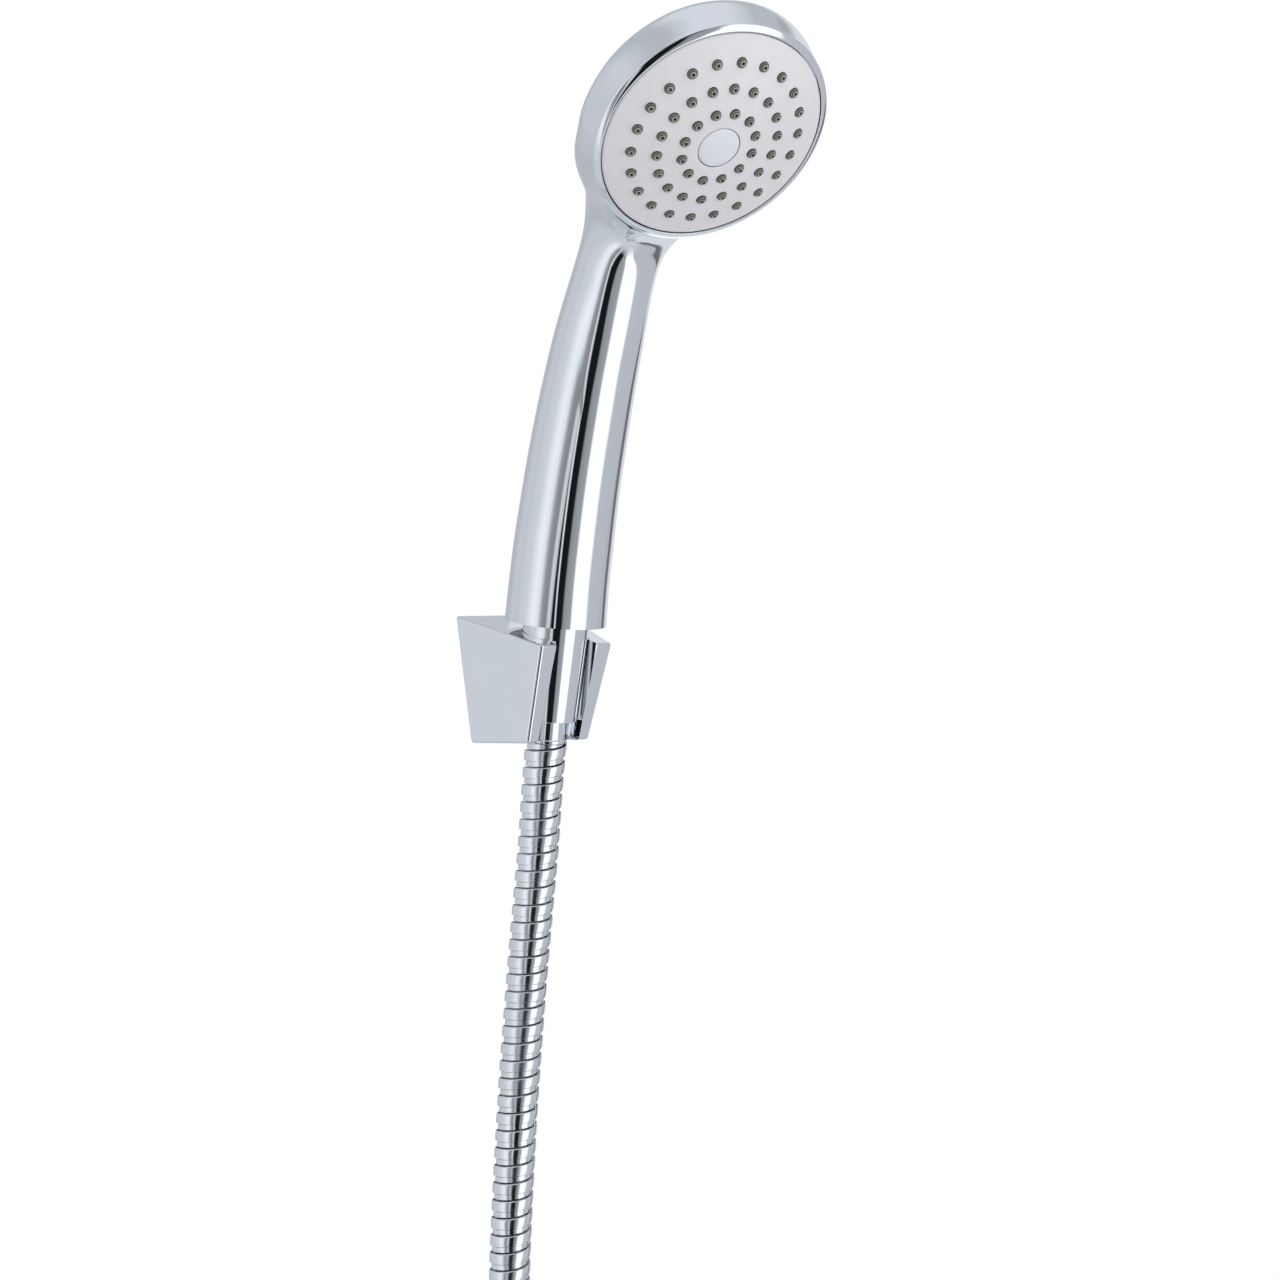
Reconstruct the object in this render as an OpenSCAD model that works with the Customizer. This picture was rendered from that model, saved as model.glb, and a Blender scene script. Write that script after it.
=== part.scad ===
// Handheld shower head resting in its wall bracket, with a metal hose.
// Frame: +Z up, the wall is the plane y = 0, the room lies towards -Y, and x = 0 is the middle.

/* [Bracket] */
// half width at the wall, along the top edge
wall_top_half = 25; // [20:0.5:30]
// half width at the wall, along the bottom edge
wall_low_half = 18.5; // [15:0.5:24]
// half height at the wall
wall_half_h = 23; // [18:0.5:28]
// half width of the front, along its top edge
front_top_half = 15.7; // [13:0.1:20]
// half width of the front, along its bottom edge
front_low_half = 13.6; // [12:0.1:18]
// how far the top of the front stands out from the wall
front_top_out = 38.8; // [34:0.2:46]
// how far the bottom of the front stands out from the wall
front_low_out = 27.8; // [24:0.2:34]
// height of the front's top edge
front_top_z = 13.2; // [8:0.2:20]
// height of the front's bottom edge
front_low_z = -21.6; // [-26:0.2:-18]
// edge rounding
edge_r = 1.2; // [0.5:0.1:2]
// width of the slot that the hose passes through
slot_w = 18.2; // [16:0.2:20]

/* [Seat of the handset] */
// distance of the seat's axis from the wall, at z = 0
seat_out = 23.8; // [20:0.1:30]
// how far the seat's axis leans out at the top, in degrees
seat_lean = 8; // [0:1:20]
// the handset's turn in its seat, in degrees
turn_angle = -9.5; // [-60:0.5:60]

/* [Hose end nut] */
// radius of the cone nut at mid height
cone_r = 10.85; // [10:0.05:12]
// growth of that radius for each mm up
cone_taper = 0.052; // [0.03:0.002:0.08]
// top of the cone nut along the seat's axis
cone_top = 20.8; // [18:0.1:24]
// bottom of the cone nut along the seat's axis
cone_low = -13.8; // [-18:0.1:-10]
// gap between the cone nut and its seat
seat_gap = 0.25; // [0.1:0.05:0.5]
// radius of the nuts' inside thread, G 1/2
thread_r = 9.32; // [9.3:0.01:9.4]

/* [Head] */
// distance of the spray face's centre from the wall
head_out = 124.7; // [110:0.1:140]
// height of the spray face's centre
head_z = 170.5; // [150:0.1:190]
// how far the spray face looks down from level, in degrees
head_down = 46.4; // [30:0.1:60]
// radius of the head at its front edge
head_front_r = 38; // [36:0.1:50]
// radius of the head at its widest, near the back
head_back_r = 40; // [38:0.1:52]
// depth of that widest place behind the reference plane
head_back_h = 14.5; // [10:0.5:20]
// depth of the back's crown behind the reference plane
crown_h = 26; // [20:0.5:32]
// radius of the face plate
plate_r = 36.1; // [34:0.1:48]
// height of the face plate's middle in front of the reference plane
plate_top = 3.8; // [0:0.1:6]
// radius of the face plate's dome
plate_dome = 112; // [80:1:300]
// thickness of the face plate
plate_t = 1.8; // [1:0.1:3]
// radius of the cap in the middle
cap_r = 6.85; // [5:0.05:10]

/* [Nozzles] */
// radii of the three rings
ring_r = [12.1, 19.9, 27.8];
// nozzles in each ring
ring_count = [12, 18, 22];
// radius of a nozzle at its foot
nozzle_r = 1.7; // [1.2:0.05:2.2]
// radius of a nozzle at its tip
nozzle_tip_r = 1.15; // [0.8:0.05:1.6]
// height of a nozzle above the face
nozzle_h = 1.9; // [0.5:0.1:3]
// radius of a nozzle's hole
jet_r = 0.5; // [0.3:0.05:0.8]

/* [Handle] */
// wall of the handset's shell
shell_t = 2.2; // [1.8:0.1:3]
// how square the handle's section is: 2 is an ellipse
squareness = 2.3; // [2:0.1:5]

/* [Hose] */
// outer diameter of the hose
hose_d = 15; // [14:0.5:16]
// length of the straight runs of the folded hose
run_len = 140; // [100:5:200]
// radius of the folds at the middle of the hose
fold_r = 45; // [45:1:60]
// how far the rearmost run lies from the wall
run_out = 9.5; // [8:0.5:15]

/* [Hidden] */
$fn = 72;
fine = 28; // sides of a small round
seat = [0, -seat_out, 0];
seat_axis = [0, -sin(seat_lean), cos(seat_lean)];
hose_r = hose_d / 2;
layer = hose_d + 0.3; // from one layer of the folded hose to the next

// The handle's stations from its foot to the head: distance from the wall, height,
// lean in degrees, half width and half depth.
STATIONS = [
    [26.2, 20.8, 8, 17.5, 17.2],
    [28.4, 34.8, 10.5, 17.2, 16.9],
    [31.3, 48.8, 13, 17, 16.6],
    [34.8, 62.8, 15.5, 16.6, 16.2],
    [39, 76.8, 18, 16.3, 15.8],
    [43.9, 90.8, 20, 15.9, 15.4],
    [49.3, 104.8, 22, 15.4, 14.9],
    [55.4, 118.8, 24, 14.9, 14.4],
    [61, 130.5, 27, 14.5, 13.9],
    [66.5, 140.5, 31, 14.8, 13.3],
    [72.5, 149, 37, 16.2, 12.6],
    [79.5, 156.8, 43, 19, 11.5],
    [86.5, 163.6, 46, 22, 9.7],
    [92.5, 169.3, 47, 22.5, 7],
    [103.6, 175.2, 47, 15, 6.5],
];
FOOT = [[24.7, 10, 8, 17.5, 17.2]]; // carries the hollow out through the handle's foot
sides = 32;

// Places along the seat's axis, and places in the head's frame, before the handset is turned.
face_turn = 90 + head_down;

function seat_at(s) = seat + s * seat_axis;

function head_at(y, h) = [
    0,
    -head_out + y * cos(face_turn) - h * sin(face_turn),
    head_z + y * sin(face_turn) + h * cos(face_turn),
];

// The water tube's route inside the handle, from the connector to the chamber.
INLET = [[-24, -17], [-15, -10.85]];
TUBE = [
    seat_at(32.2),
    seat_at(46),
    [0, -35.6, 66],
    [0, -43.5, 90],
    [0, -53.5, 115],
    [0, -64.5, 137],
    head_at(-46, -21),
    head_at(-33, -20.8),
    head_at(INLET[0][0], INLET[0][1]),
    head_at(INLET[1][0], INLET[1][1]),
];
tube_r = 3.8;
tube_bore = 2.8;

// The hose's route from its top ferrule to the fold.
ferrule_low = -22;
LEAD = [
    [0, -20.7, -21.8],
    [0, -19.9, -27.5],
    [-0.1, -18.3, -40],
    [-0.3, -16.4, -60],
    [-1.1, -14.4, -80],
    [-2.1, -12.8, -100],
    [-3.3, -11.7, -120],
    [-4.6, -10.9, -140],
    [-6, -10.4, -162],
    [-7.3, -10, -185],
    [-8.4, -9.7, -208],
    [-9, -9.5, -232],
    [-9, -9.5, -258],
    [-9, -9.5, -284],
];
lead_x = -9; // where the hose goes down into the fold
fold_x = lead_x + fold_r;
fold_top = -290; // centre of the upper folds
fold_low = fold_top - run_len; // centre of the lower folds
tail_out = run_out + 2 * layer;
tail_top = fold_low - 20;
tail_low = fold_low - 60;

// ---- frames ----

module at_seat() translate(seat) rotate([seat_lean, 0, 0]) children();

module turned() translate(seat) rotate(a = turn_angle, v = seat_axis) translate(-seat) children();

module at_head() turned() translate([0, -head_out, head_z]) rotate([face_turn, 0, 0]) children();

module at_tail() translate([lead_x, -tail_out, tail_low]) rotate([180, 0, 0]) children();

// ---- small shapes ----

module tube(r, bore, low, high) difference() {
    translate([0, 0, low]) cylinder(r = r, h = high - low);
    translate([0, 0, low - 1]) cylinder(r = bore, h = high - low + 2);
}

module torus(ring, r) rotate_extrude() translate([ring, 0]) circle(r = r, $fn = fine);

// ---- outlines that follow a rule ----

function plate_h(r) = plate_top - plate_dome + sqrt(plate_dome * plate_dome - r * r);

crown_rim = [39.3, -16.3];
crown_sag = crown_h + crown_rim[1];
crown_dome = (crown_rim[0] * crown_rim[0] + crown_sag * crown_sag) / (2 * crown_sag);

function crown(r, t = 0) = -crown_h + crown_dome - sqrt((crown_dome - t) * (crown_dome - t) - r * r);

function power(v) = sign(v) * pow(abs(v), 2 / squareness);

function station_ring(s, inset) = [
    for (i = [0 : sides - 1])
        let (
            a = 360 * i / sides,
            x = (s[3] - inset) * power(sin(a)),
            v = (s[4] - inset) * power(cos(a))
        )
        [x, -s[0] - v * cos(s[2]), s[1] - v * sin(s[2])]
];

// A closed skin over rings of points, each ring having the same number of points.
module skin(rings) {
    n = len(rings[0]);
    m = len(rings);
    polyhedron(
        points = [for (r = rings) for (p = r) p],
        faces = concat(
            [[for (i = [0 : n - 1]) i]],
            [for (k = [0 : m - 2]) for (i = [0 : n - 1])
                [k * n + i, (k + 1) * n + i, (k + 1) * n + (i + 1) % n, k * n + (i + 1) % n]],
            [[for (i = [n - 1 : -1 : 0]) (m - 1) * n + i]]
        )
    );
}

module handle(inset, stations) skin([for (s = stations) station_ring(s, inset)]);

// A round tube swept through points.
function dir(p, i) = let (
        a = p[max(i - 1, 0)],
        b = p[min(i + 1, len(p) - 1)]
    ) (b - a) / norm(b - a);

function sweep_ring(p, i, r, n) = let (
        d = dir(p, i),
        u = cross([1, 0, 0], d) / norm(cross([1, 0, 0], d)),
        w = cross(d, u)
    ) [for (k = [0 : n - 1]) p[i] + r * (cos(360 * k / n) * u + sin(360 * k / n) * w)];

module sweep(p, r, n) skin([for (i = [0 : len(p) - 1]) sweep_ring(p, i, r, n)]);

// ---- bracket ----

module holder_corner(x, out, z) {
    for (s = [-1, 1])
        translate([s * (x - edge_r), -out, z])
            sphere(r = edge_r, $fn = 24);
}

module holder_block() hull() {
    holder_corner(front_top_half, front_top_out - edge_r, front_top_z - edge_r);
    holder_corner(front_low_half, front_low_out - edge_r, front_low_z + edge_r);
    for (s = [-1, 1]) {
        translate([s * (wall_top_half - edge_r), 0, wall_half_h - edge_r])
            rotate([90, 0, 0])
                cylinder(r = edge_r, h = 1, $fn = 24);
        translate([s * (wall_low_half - edge_r), 0, -wall_half_h + edge_r])
            rotate([90, 0, 0])
                cylinder(r = edge_r, h = 1, $fn = 24);
    }
}

// room behind the seat for the wall plate
pocket = [32, 7.5, 36];
plate_size = [31, 2.5, 35];
tab_z = -14;

module holder_body() color([0.80, 0.82, 0.85]) difference() {
    holder_block();
    at_seat() {
        translate([0, 0, -40])
            cylinder(r1 = cone_r + seat_gap - 40 * cone_taper, r2 = cone_r + seat_gap + 40 * cone_taper, h = 80);
        translate([-slot_w / 2, -40, -40])
            cube([slot_w, 40, 80]);
    }
    translate([-pocket[0] / 2, -pocket[1], -pocket[2] / 2])
        cube([pocket[0], pocket[1] + 1, pocket[2]]);
    translate([0, -5, -30])
        cylinder(r = 2.05, h = 14, $fn = fine);
}

bolt_gap = 20; // between the two wall screws' holes
bolt_r = 2.25;

module wall_plate() color([0.62, 0.63, 0.65]) difference() {
    union() {
        translate([-plate_size[0] / 2, -plate_size[1], -plate_size[2] / 2])
            cube(plate_size);
        translate([-5, -7.3, tab_z - 1])
            cube([10, 5, 2]);
    }
    for (s = [-1, 1])
        translate([0, 1, s * bolt_gap / 2 + 4])
            rotate([90, 0, 0])
                cylinder(r = bolt_r, h = 5, $fn = fine);
    translate([0, -5, tab_z - 2])
        cylinder(r = 2.05, h = 4, $fn = fine);
}

module locking_screw() color([0.55, 0.56, 0.58]) difference() {
    translate([0, -5, -22.4])
        cylinder(r = 2, h = 10.4, $fn = fine);
    translate([0, -5, -23])
        cylinder(r = 1.1, h = 3, $fn = 6);
}

// ---- handset: shell and face ----

function crown_points(from, to, t) = [for (k = [0 : 12]) let (r = from + (to - from) * k / 12) [r, crown(r, t)]];

module handset_shell() color([0.80, 0.82, 0.85]) difference() {
    union() {
        turned() handle(0, STATIONS);
        at_head() rotate_extrude() polygon(concat(
            [[0, -6], [38.29, -6], [38.29, -4], [head_back_r, -head_back_h]],
            crown_points(crown_rim[0], 0, 0)
        ));
    }
    turned() handle(shell_t, concat(FOOT, STATIONS));
    at_head() rotate_extrude() polygon(concat(
        [[0, 5], [37.15, 5], [37.15, -9], [36.4, -9], [37.5, -head_back_h]],
        crown_points(37, 0, shell_t)
    ));
}

module handle_end_cap() color([0.86, 0.87, 0.89]) difference() {
    turned() intersection() {
        handle(shell_t + 0.2, concat(FOOT, STATIONS));
        at_seat() translate([-30, -30, 21]) cube([60, 60, 2.6]);
    }
    at_seat() translate([0, 0, 10]) cylinder(r = 10.1, h = 30);
}

module head_bezel() color([0.88, 0.89, 0.91]) at_head() rotate_extrude() polygon([
    [36.2, -2.15], [37.6, -1.95], [38, -2.3], [38.27, -3.95],
    [37.05, -3.95], [37.05, -7.5], [36.2, -7.5]
]);

module at_nozzles() for (k = [0 : 2]) for (i = [0 : ring_count[k] - 1])
    rotate([0, 0, 90 + 360 * (i + (k == 0 ? 0 : 0.5)) / ring_count[k]])
        translate([ring_r[k], 0, plate_h(ring_r[k])])
            rotate([0, asin(ring_r[k] / plate_dome), 0])
                children();

module face_plate() color([0.84, 0.83, 0.84]) at_head() difference() {
    rotate_extrude() polygon(concat(
        [for (k = [0 : 12]) let (r = cap_r + 0.05 + (plate_r - cap_r - 0.05) * k / 12) [r, plate_h(r)]],
        [[plate_r, -4.2]],
        [for (k = [12 : -1 : 0]) let (r = cap_r + 0.05 + (plate_r - 1 - cap_r) * k / 12) [r, plate_h(r) - plate_t]]
    ));
    at_nozzles() translate([0, 0, -6]) cylinder(r = nozzle_r + 0.1, h = 12, $fn = 20);
}

mat_t = 1.4;

module nozzle_mat() color([0.45, 0.44, 0.40]) at_head() difference() {
    union() {
        rotate_extrude() polygon(concat(
            [for (k = [0 : 10]) let (r = 8.5 + 24.5 * k / 10) [r, plate_h(r) - plate_t - 0.05]],
            [for (k = [10 : -1 : 0]) let (r = 8.5 + 24.5 * k / 10) [r, plate_h(r) - plate_t - mat_t]]
        ));
        at_nozzles() {
            translate([0, 0, -plate_t - 0.5]) cylinder(r = nozzle_r, h = plate_t + 0.5, $fn = 20);
            cylinder(r1 = nozzle_r, r2 = nozzle_tip_r, h = nozzle_h, $fn = 20);
        }
    }
    at_nozzles() translate([0, 0, -6]) cylinder(r = jet_r, h = 12, $fn = 14);
}

module center_cap() color([0.84, 0.86, 0.90]) at_head() difference() {
    rotate_extrude() polygon([
        [0, plate_top], [2.5, plate_h(2.5)], [4.8, plate_h(4.8)], [cap_r, plate_h(cap_r)],
        [cap_r, 1.4], [5.2, 1.4], [5.2, 2.5], [0, 2.5]
    ]);
}

screw_seat = 0.3; // where the middle screw's head rests

module center_screw() color([0.60, 0.61, 0.63]) at_head() difference() {
    union() {
        translate([0, 0, -13]) cylinder(r = 2, h = 13.5, $fn = fine);
        translate([0, 0, screw_seat]) cylinder(r = 3.8, h = 2, $fn = fine);
    }
    for (a = [0, 90])
        rotate([0, 0, a]) translate([-2, -0.4, 1.4]) cube([4, 0.8, 2]);
}

disc_low = -7.5;
disc_r = 35.4;

module spray_disc() color([0.88, 0.88, 0.86]) at_head() difference() {
    rotate_extrude() polygon(concat(
        [[0, screw_seat], [7, screw_seat], [7, plate_h(8) - plate_t - mat_t - 0.05]],
        [for (k = [0 : 8]) let (r = 8 + 25 * k / 8) [r, plate_h(r) - plate_t - mat_t - 0.05]],
        [[33.4, -4.6], [disc_r, -4.6], [disc_r, disc_low], [0, disc_low]]
    ));
    at_nozzles() translate([0, 0, -12]) cylinder(r = 0.9, h = 12, $fn = 14);
    translate([0, 0, -10]) cylinder(r = 2.1, h = 14, $fn = fine);
}

seal_r = 0.7;

module chamber_seal() color([0.12, 0.12, 0.13]) at_head()
    translate([0, 0, disc_low - seal_r]) torus(34.2, seal_r);

chamber_low = -14.5;

module chamber_plate() color([0.88, 0.88, 0.86]) at_head() difference() {
    rotate_extrude() polygon([
        [0, disc_low], [4.5, disc_low], [4.5, chamber_low + 2], [33, chamber_low + 2],
        [33, disc_low - 2 * seal_r], [disc_r, disc_low - 2 * seal_r], [disc_r, chamber_low], [0, chamber_low]
    ]);
    translate([0, 0, -20]) cylinder(r = 2.1, h = 14, $fn = fine);
    translate([0, INLET[0][0], INLET[0][1]])
        rotate([-atan2(INLET[1][0] - INLET[0][0], INLET[1][1] - INLET[0][1]), 0, 0])
            cylinder(r = tube_bore, h = 14, $fn = fine);
}

// ---- handset: water way ----

module water_tube() color([0.90, 0.90, 0.88]) difference() {
    turned() sweep(TUBE, tube_r, 16);
    turned() sweep(concat([seat_at(30)], TUBE), tube_bore, 16);
    at_head() translate([-20, -40, chamber_low]) cube([40, 40, 20]);
}

stub_low = 23.6;
stub_top = 44;
seal_at = [36, 40];

module tube_seals() color([0.12, 0.12, 0.13]) for (t = seal_at)
    at_seat() translate([0, 0, t]) torus(tube_r + 0.7, 0.7);

module inlet_connector() color([0.72, 0.68, 0.52]) at_seat() difference() {
    union() {
        translate([0, 0, 9]) cylinder(r = thread_r - 0.05, h = 14);
        translate([0, 0, stub_low]) cylinder(r = 12, h = 4);
        translate([0, 0, 20]) cylinder(r = 7.5, h = stub_top - 20);
    }
    translate([0, 0, 8]) cylinder(r = 6.5, h = 12);
    translate([0, 0, 18]) cylinder(r = tube_bore, h = 20);
    translate([0, 0, 32]) cylinder(r = tube_r + 0.05, h = 20);
    for (t = seal_at) translate([0, 0, t - 0.8]) cylinder(r = tube_r + 1.4, h = 1.6);
}

module inlet_filter() color([0.70, 0.71, 0.72]) at_seat() difference() {
    translate([0, 0, 14.2]) cylinder(r = 6.4, h = 1);
    for (k = [0 : 2]) for (i = [0 : max(6 * k - 1, 0)])
        rotate([0, 0, 360 * i / max(6 * k, 1)])
            translate([2.2 * k, 0, 14]) cylinder(r = 0.7, h = 2, $fn = 14);
}

module flow_regulator() color([0.25, 0.45, 0.60]) at_seat() tube(6.4, 1.6, 10, 13.6);

module cone_nut() color([0.80, 0.82, 0.85]) at_seat() difference() {
    translate([0, 0, cone_low])
        cylinder(r1 = cone_r + cone_low * cone_taper, r2 = cone_r + cone_top * cone_taper, h = cone_top - cone_low);
    translate([0, 0, 4.8]) cylinder(r = thread_r, h = 20);
    translate([0, 0, cone_low - 1]) cylinder(r = 7.3, h = 30);
}

module washer_top() color([0.12, 0.12, 0.13]) at_seat() tube(9, 6, 7, 9);

// ---- hose ----

module nipple_top() color([0.80, 0.70, 0.45]) at_seat() difference() {
    union() {
        translate([0, 0, 4.8]) cylinder(r = 9, h = 2.2);
        translate([0, 0, ferrule_low]) cylinder(r = 5.2, h = 28);
    }
    translate([0, 0, ferrule_low - 1]) cylinder(r = 4, h = 40);
}

module ferrule_top() color([0.80, 0.82, 0.85]) at_seat() union() {
    tube(6.7, 5.2, ferrule_low + 0.8, 4.6);
    tube(7.1, 5.2, ferrule_low, ferrule_low + 1.2);
}

module hose_lead() color([0.74, 0.76, 0.78]) sweep(LEAD, hose_r, 12);

module fold_outline(r) hull() for (z = [fold_top, fold_low])
    translate([fold_x, z]) circle(r = r);

module hose_hank() color([0.74, 0.76, 0.78]) {
    difference() {
        union() {
            translate([0, -run_out + hose_r, 0]) rotate([90, 0, 0])
                linear_extrude(hose_d + layer) fold_outline(fold_r + hose_r);
            // the last run lies in front, on the left only
            translate([0, -run_out - layer, 0]) rotate([90, 0, 0])
                linear_extrude(layer + hose_r) intersection() {
                    fold_outline(fold_r + hose_r);
                    union() {
                        translate([fold_x - fold_r - hose_r, fold_low - 25])
                            square([hose_d, run_len + 25]);
                        translate([fold_x - 80, fold_top]) square([160, 80]);
                    }
                }
        }
        translate([0, 10, 0]) rotate([90, 0, 0])
            linear_extrude(80) fold_outline(fold_r - hose_r);
    }
}

module hose_tail() color([0.74, 0.76, 0.78])
    translate([lead_x, -tail_out, tail_low]) cylinder(r = hose_r, h = tail_top - tail_low, $fn = 12);

tie_t = 1.4;
tie_h = 14;

module tie(x, front, z) {
    wide = hose_d + 2 * tie_t;
    translate([x, 0, z]) difference() {
        translate([-wide / 2, -front - tie_t, 0])
            cube([wide, front - run_out + hose_r + 2 * tie_t, tie_h]);
        translate([-hose_r, -front, -1])
            cube([hose_d, front - run_out + hose_r, tie_h + 2]);
    }
}

tie_z = fold_low + run_len / 2 - tie_h / 2;

module tie_left() color([0.15, 0.15, 0.16]) tie(fold_x - fold_r, tail_out + hose_r, tie_z);

module tie_right() color([0.15, 0.15, 0.16]) tie(fold_x + fold_r, run_out + layer + hose_r, tie_z);

module ferrule_end() color([0.80, 0.82, 0.85]) at_tail() union() {
    tube(6.7, 5.2, 0.8, 20);
    tube(7.1, 5.2, 0, 1.2);
}

module nipple_end() color([0.80, 0.70, 0.45]) at_tail() difference() {
    union() {
        cylinder(r = 5.2, h = 24);
        translate([0, 0, 22]) cylinder(r = 9, h = 2.2);
    }
    translate([0, 0, -1]) cylinder(r = 4, h = 40);
}

module washer_end() color([0.12, 0.12, 0.13]) at_tail() tube(9, 6, 24.2, 26.2);

nut_low = 14;
nut_floor = 21.8;
nut_thread = 26.4; // where the thread starts, past the washer
nut_top = 36;

module tap_nut() color([0.80, 0.82, 0.85]) at_tail() difference() {
    translate([0, 0, nut_low]) cylinder(r = 12, h = nut_top - nut_low);
    translate([0, 0, nut_floor]) cylinder(r = thread_r + 0.4, h = nut_thread - nut_floor);
    translate([0, 0, nut_floor]) cylinder(r = thread_r, h = 20);
    translate([0, 0, nut_low - 1]) cylinder(r = 7.3, h = 20);
    for (a = [0 : 12 : 348])
        rotate([0, 0, a]) translate([12.5, 0, nut_low - 1]) cylinder(r = 0.9, h = 16, $fn = 14);
}

holder_body();
wall_plate();
locking_screw();
handset_shell();
handle_end_cap();
head_bezel();
face_plate();
nozzle_mat();
center_cap();
center_screw();
spray_disc();
chamber_seal();
chamber_plate();
water_tube();
tube_seals();
inlet_connector();
inlet_filter();
flow_regulator();
cone_nut();
washer_top();
nipple_top();
ferrule_top();
hose_lead();
hose_hank();
hose_tail();
tie_left();
tie_right();
ferrule_end();
nipple_end();
washer_end();
tap_nut();
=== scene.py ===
"""Handheld shower head in its wall bracket, with a spiral metal hose.

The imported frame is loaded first. Each operator makes one piece, or one group of like pieces, in metres.
"""

import math

import bmesh
import bpy
import numpy as np
from bpy.props import FloatProperty, FloatVectorProperty, IntProperty, PointerProperty
from mathutils import Matrix, Vector


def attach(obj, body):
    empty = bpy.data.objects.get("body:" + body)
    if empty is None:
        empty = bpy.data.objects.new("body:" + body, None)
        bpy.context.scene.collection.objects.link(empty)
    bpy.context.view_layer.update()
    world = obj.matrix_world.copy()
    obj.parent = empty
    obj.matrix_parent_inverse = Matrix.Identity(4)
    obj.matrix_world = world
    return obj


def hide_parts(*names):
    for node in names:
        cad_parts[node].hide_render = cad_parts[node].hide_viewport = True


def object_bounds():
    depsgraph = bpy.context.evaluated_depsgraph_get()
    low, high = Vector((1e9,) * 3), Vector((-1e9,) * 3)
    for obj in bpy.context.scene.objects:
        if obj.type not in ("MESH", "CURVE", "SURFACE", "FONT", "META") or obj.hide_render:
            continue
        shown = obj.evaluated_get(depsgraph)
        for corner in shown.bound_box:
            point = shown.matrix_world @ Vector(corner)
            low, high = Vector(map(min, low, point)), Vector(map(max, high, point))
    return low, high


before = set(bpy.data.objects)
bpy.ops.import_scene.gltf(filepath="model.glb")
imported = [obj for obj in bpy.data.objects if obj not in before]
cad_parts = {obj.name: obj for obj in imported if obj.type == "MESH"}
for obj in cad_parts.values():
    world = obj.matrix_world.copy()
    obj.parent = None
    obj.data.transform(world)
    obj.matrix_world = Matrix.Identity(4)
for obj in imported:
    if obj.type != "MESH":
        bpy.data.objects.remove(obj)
CAD_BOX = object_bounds()

bl_info = {
    "name": "Shower Handset",
    "version": (1, 0, 0),
    "blender": (4, 5, 0),
    "location": "View3D > Sidebar > Shower",
    "description": "Builds a chrome shower handset, its wall bracket and its hose",
    "category": "Add Mesh",
}

MM = 0.001

# ---------------------------------------------------------------- frames

SEAT = Vector((0, -23.8, 0)) * MM
LEAN = math.radians(8)
SEAT_AXIS = Vector((0, -math.sin(LEAN), math.cos(LEAN)))
IN_SEAT = Matrix.Translation(SEAT) @ Matrix.Rotation(LEAN, 4, "X")
TURNED = (
    Matrix.Translation(SEAT)
    @ Matrix.Rotation(math.radians(-9.5), 4, SEAT_AXIS)
    @ Matrix.Translation(-SEAT)
)
HEAD_AT = Vector((0, -124.7, 170.5)) * MM
FACE_TURN = math.radians(136.4)
IN_HEAD = TURNED @ Matrix.Translation(HEAD_AT) @ Matrix.Rotation(FACE_TURN, 4, "X")

# The hose's line, in metres: down from the top ferrule to the fold.
LEAD = [
    (0, -0.0207, -0.0218), (0, -0.0199, -0.0275), (-0.0001, -0.0183, -0.04),
    (-0.0003, -0.0164, -0.06), (-0.0011, -0.0144, -0.08), (-0.0021, -0.0128, -0.1),
    (-0.0033, -0.0117, -0.12), (-0.0046, -0.0109, -0.14), (-0.006, -0.0104, -0.162),
    (-0.0073, -0.01, -0.185), (-0.0084, -0.0097, -0.208), (-0.009, -0.0095, -0.232),
    (-0.009, -0.0095, -0.258), (-0.009, -0.0095, -0.29),
]
RUN_X = -0.009
RUN_OUT = 0.0095
FOLD_R = 0.045
FOLD_TOP = -0.29
FOLD_LOW = -0.43
LAYER = 0.0153
TAIL_LOW = -0.49

# The handle's stations, in mm: distance from the wall, height, lean, half width, half depth.
STATIONS = [
    (26.2, 20.8, 8, 18, 17.7), (28.4, 34.8, 10.5, 17.7, 17.4), (31.3, 48.8, 13, 17.5, 17.1),
    (34.8, 62.8, 15.5, 17.1, 16.7), (38.8, 76.8, 18, 16.8, 16.3), (43.4, 90.8, 20, 16.4, 15.9),
    (48.5, 104.8, 22, 15.9, 15.3), (54.3, 118.8, 24, 15.2, 14.8), (59.7, 130.5, 27, 14.2, 14.2),
    (64.9, 140.5, 31, 13.7, 13.5), (70.4, 149, 37, 14.6, 13), (77.6, 156.8, 43, 18.2, 12.4),
    (85.4, 163.6, 46, 21.5, 10.7), (92.5, 169.3, 47, 22, 7.5), (103.6, 175.2, 47, 15, 6.5),
]


# ---------------------------------------------------------------- settings


def length(name, description, mm):
    return FloatProperty(name=name, description=description, default=mm * MM, unit="LENGTH", precision=4)


def colour(name, description, value):
    return FloatVectorProperty(
        name=name, description=description, default=value, subtype="COLOR", size=3, min=0, max=1,
    )


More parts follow.
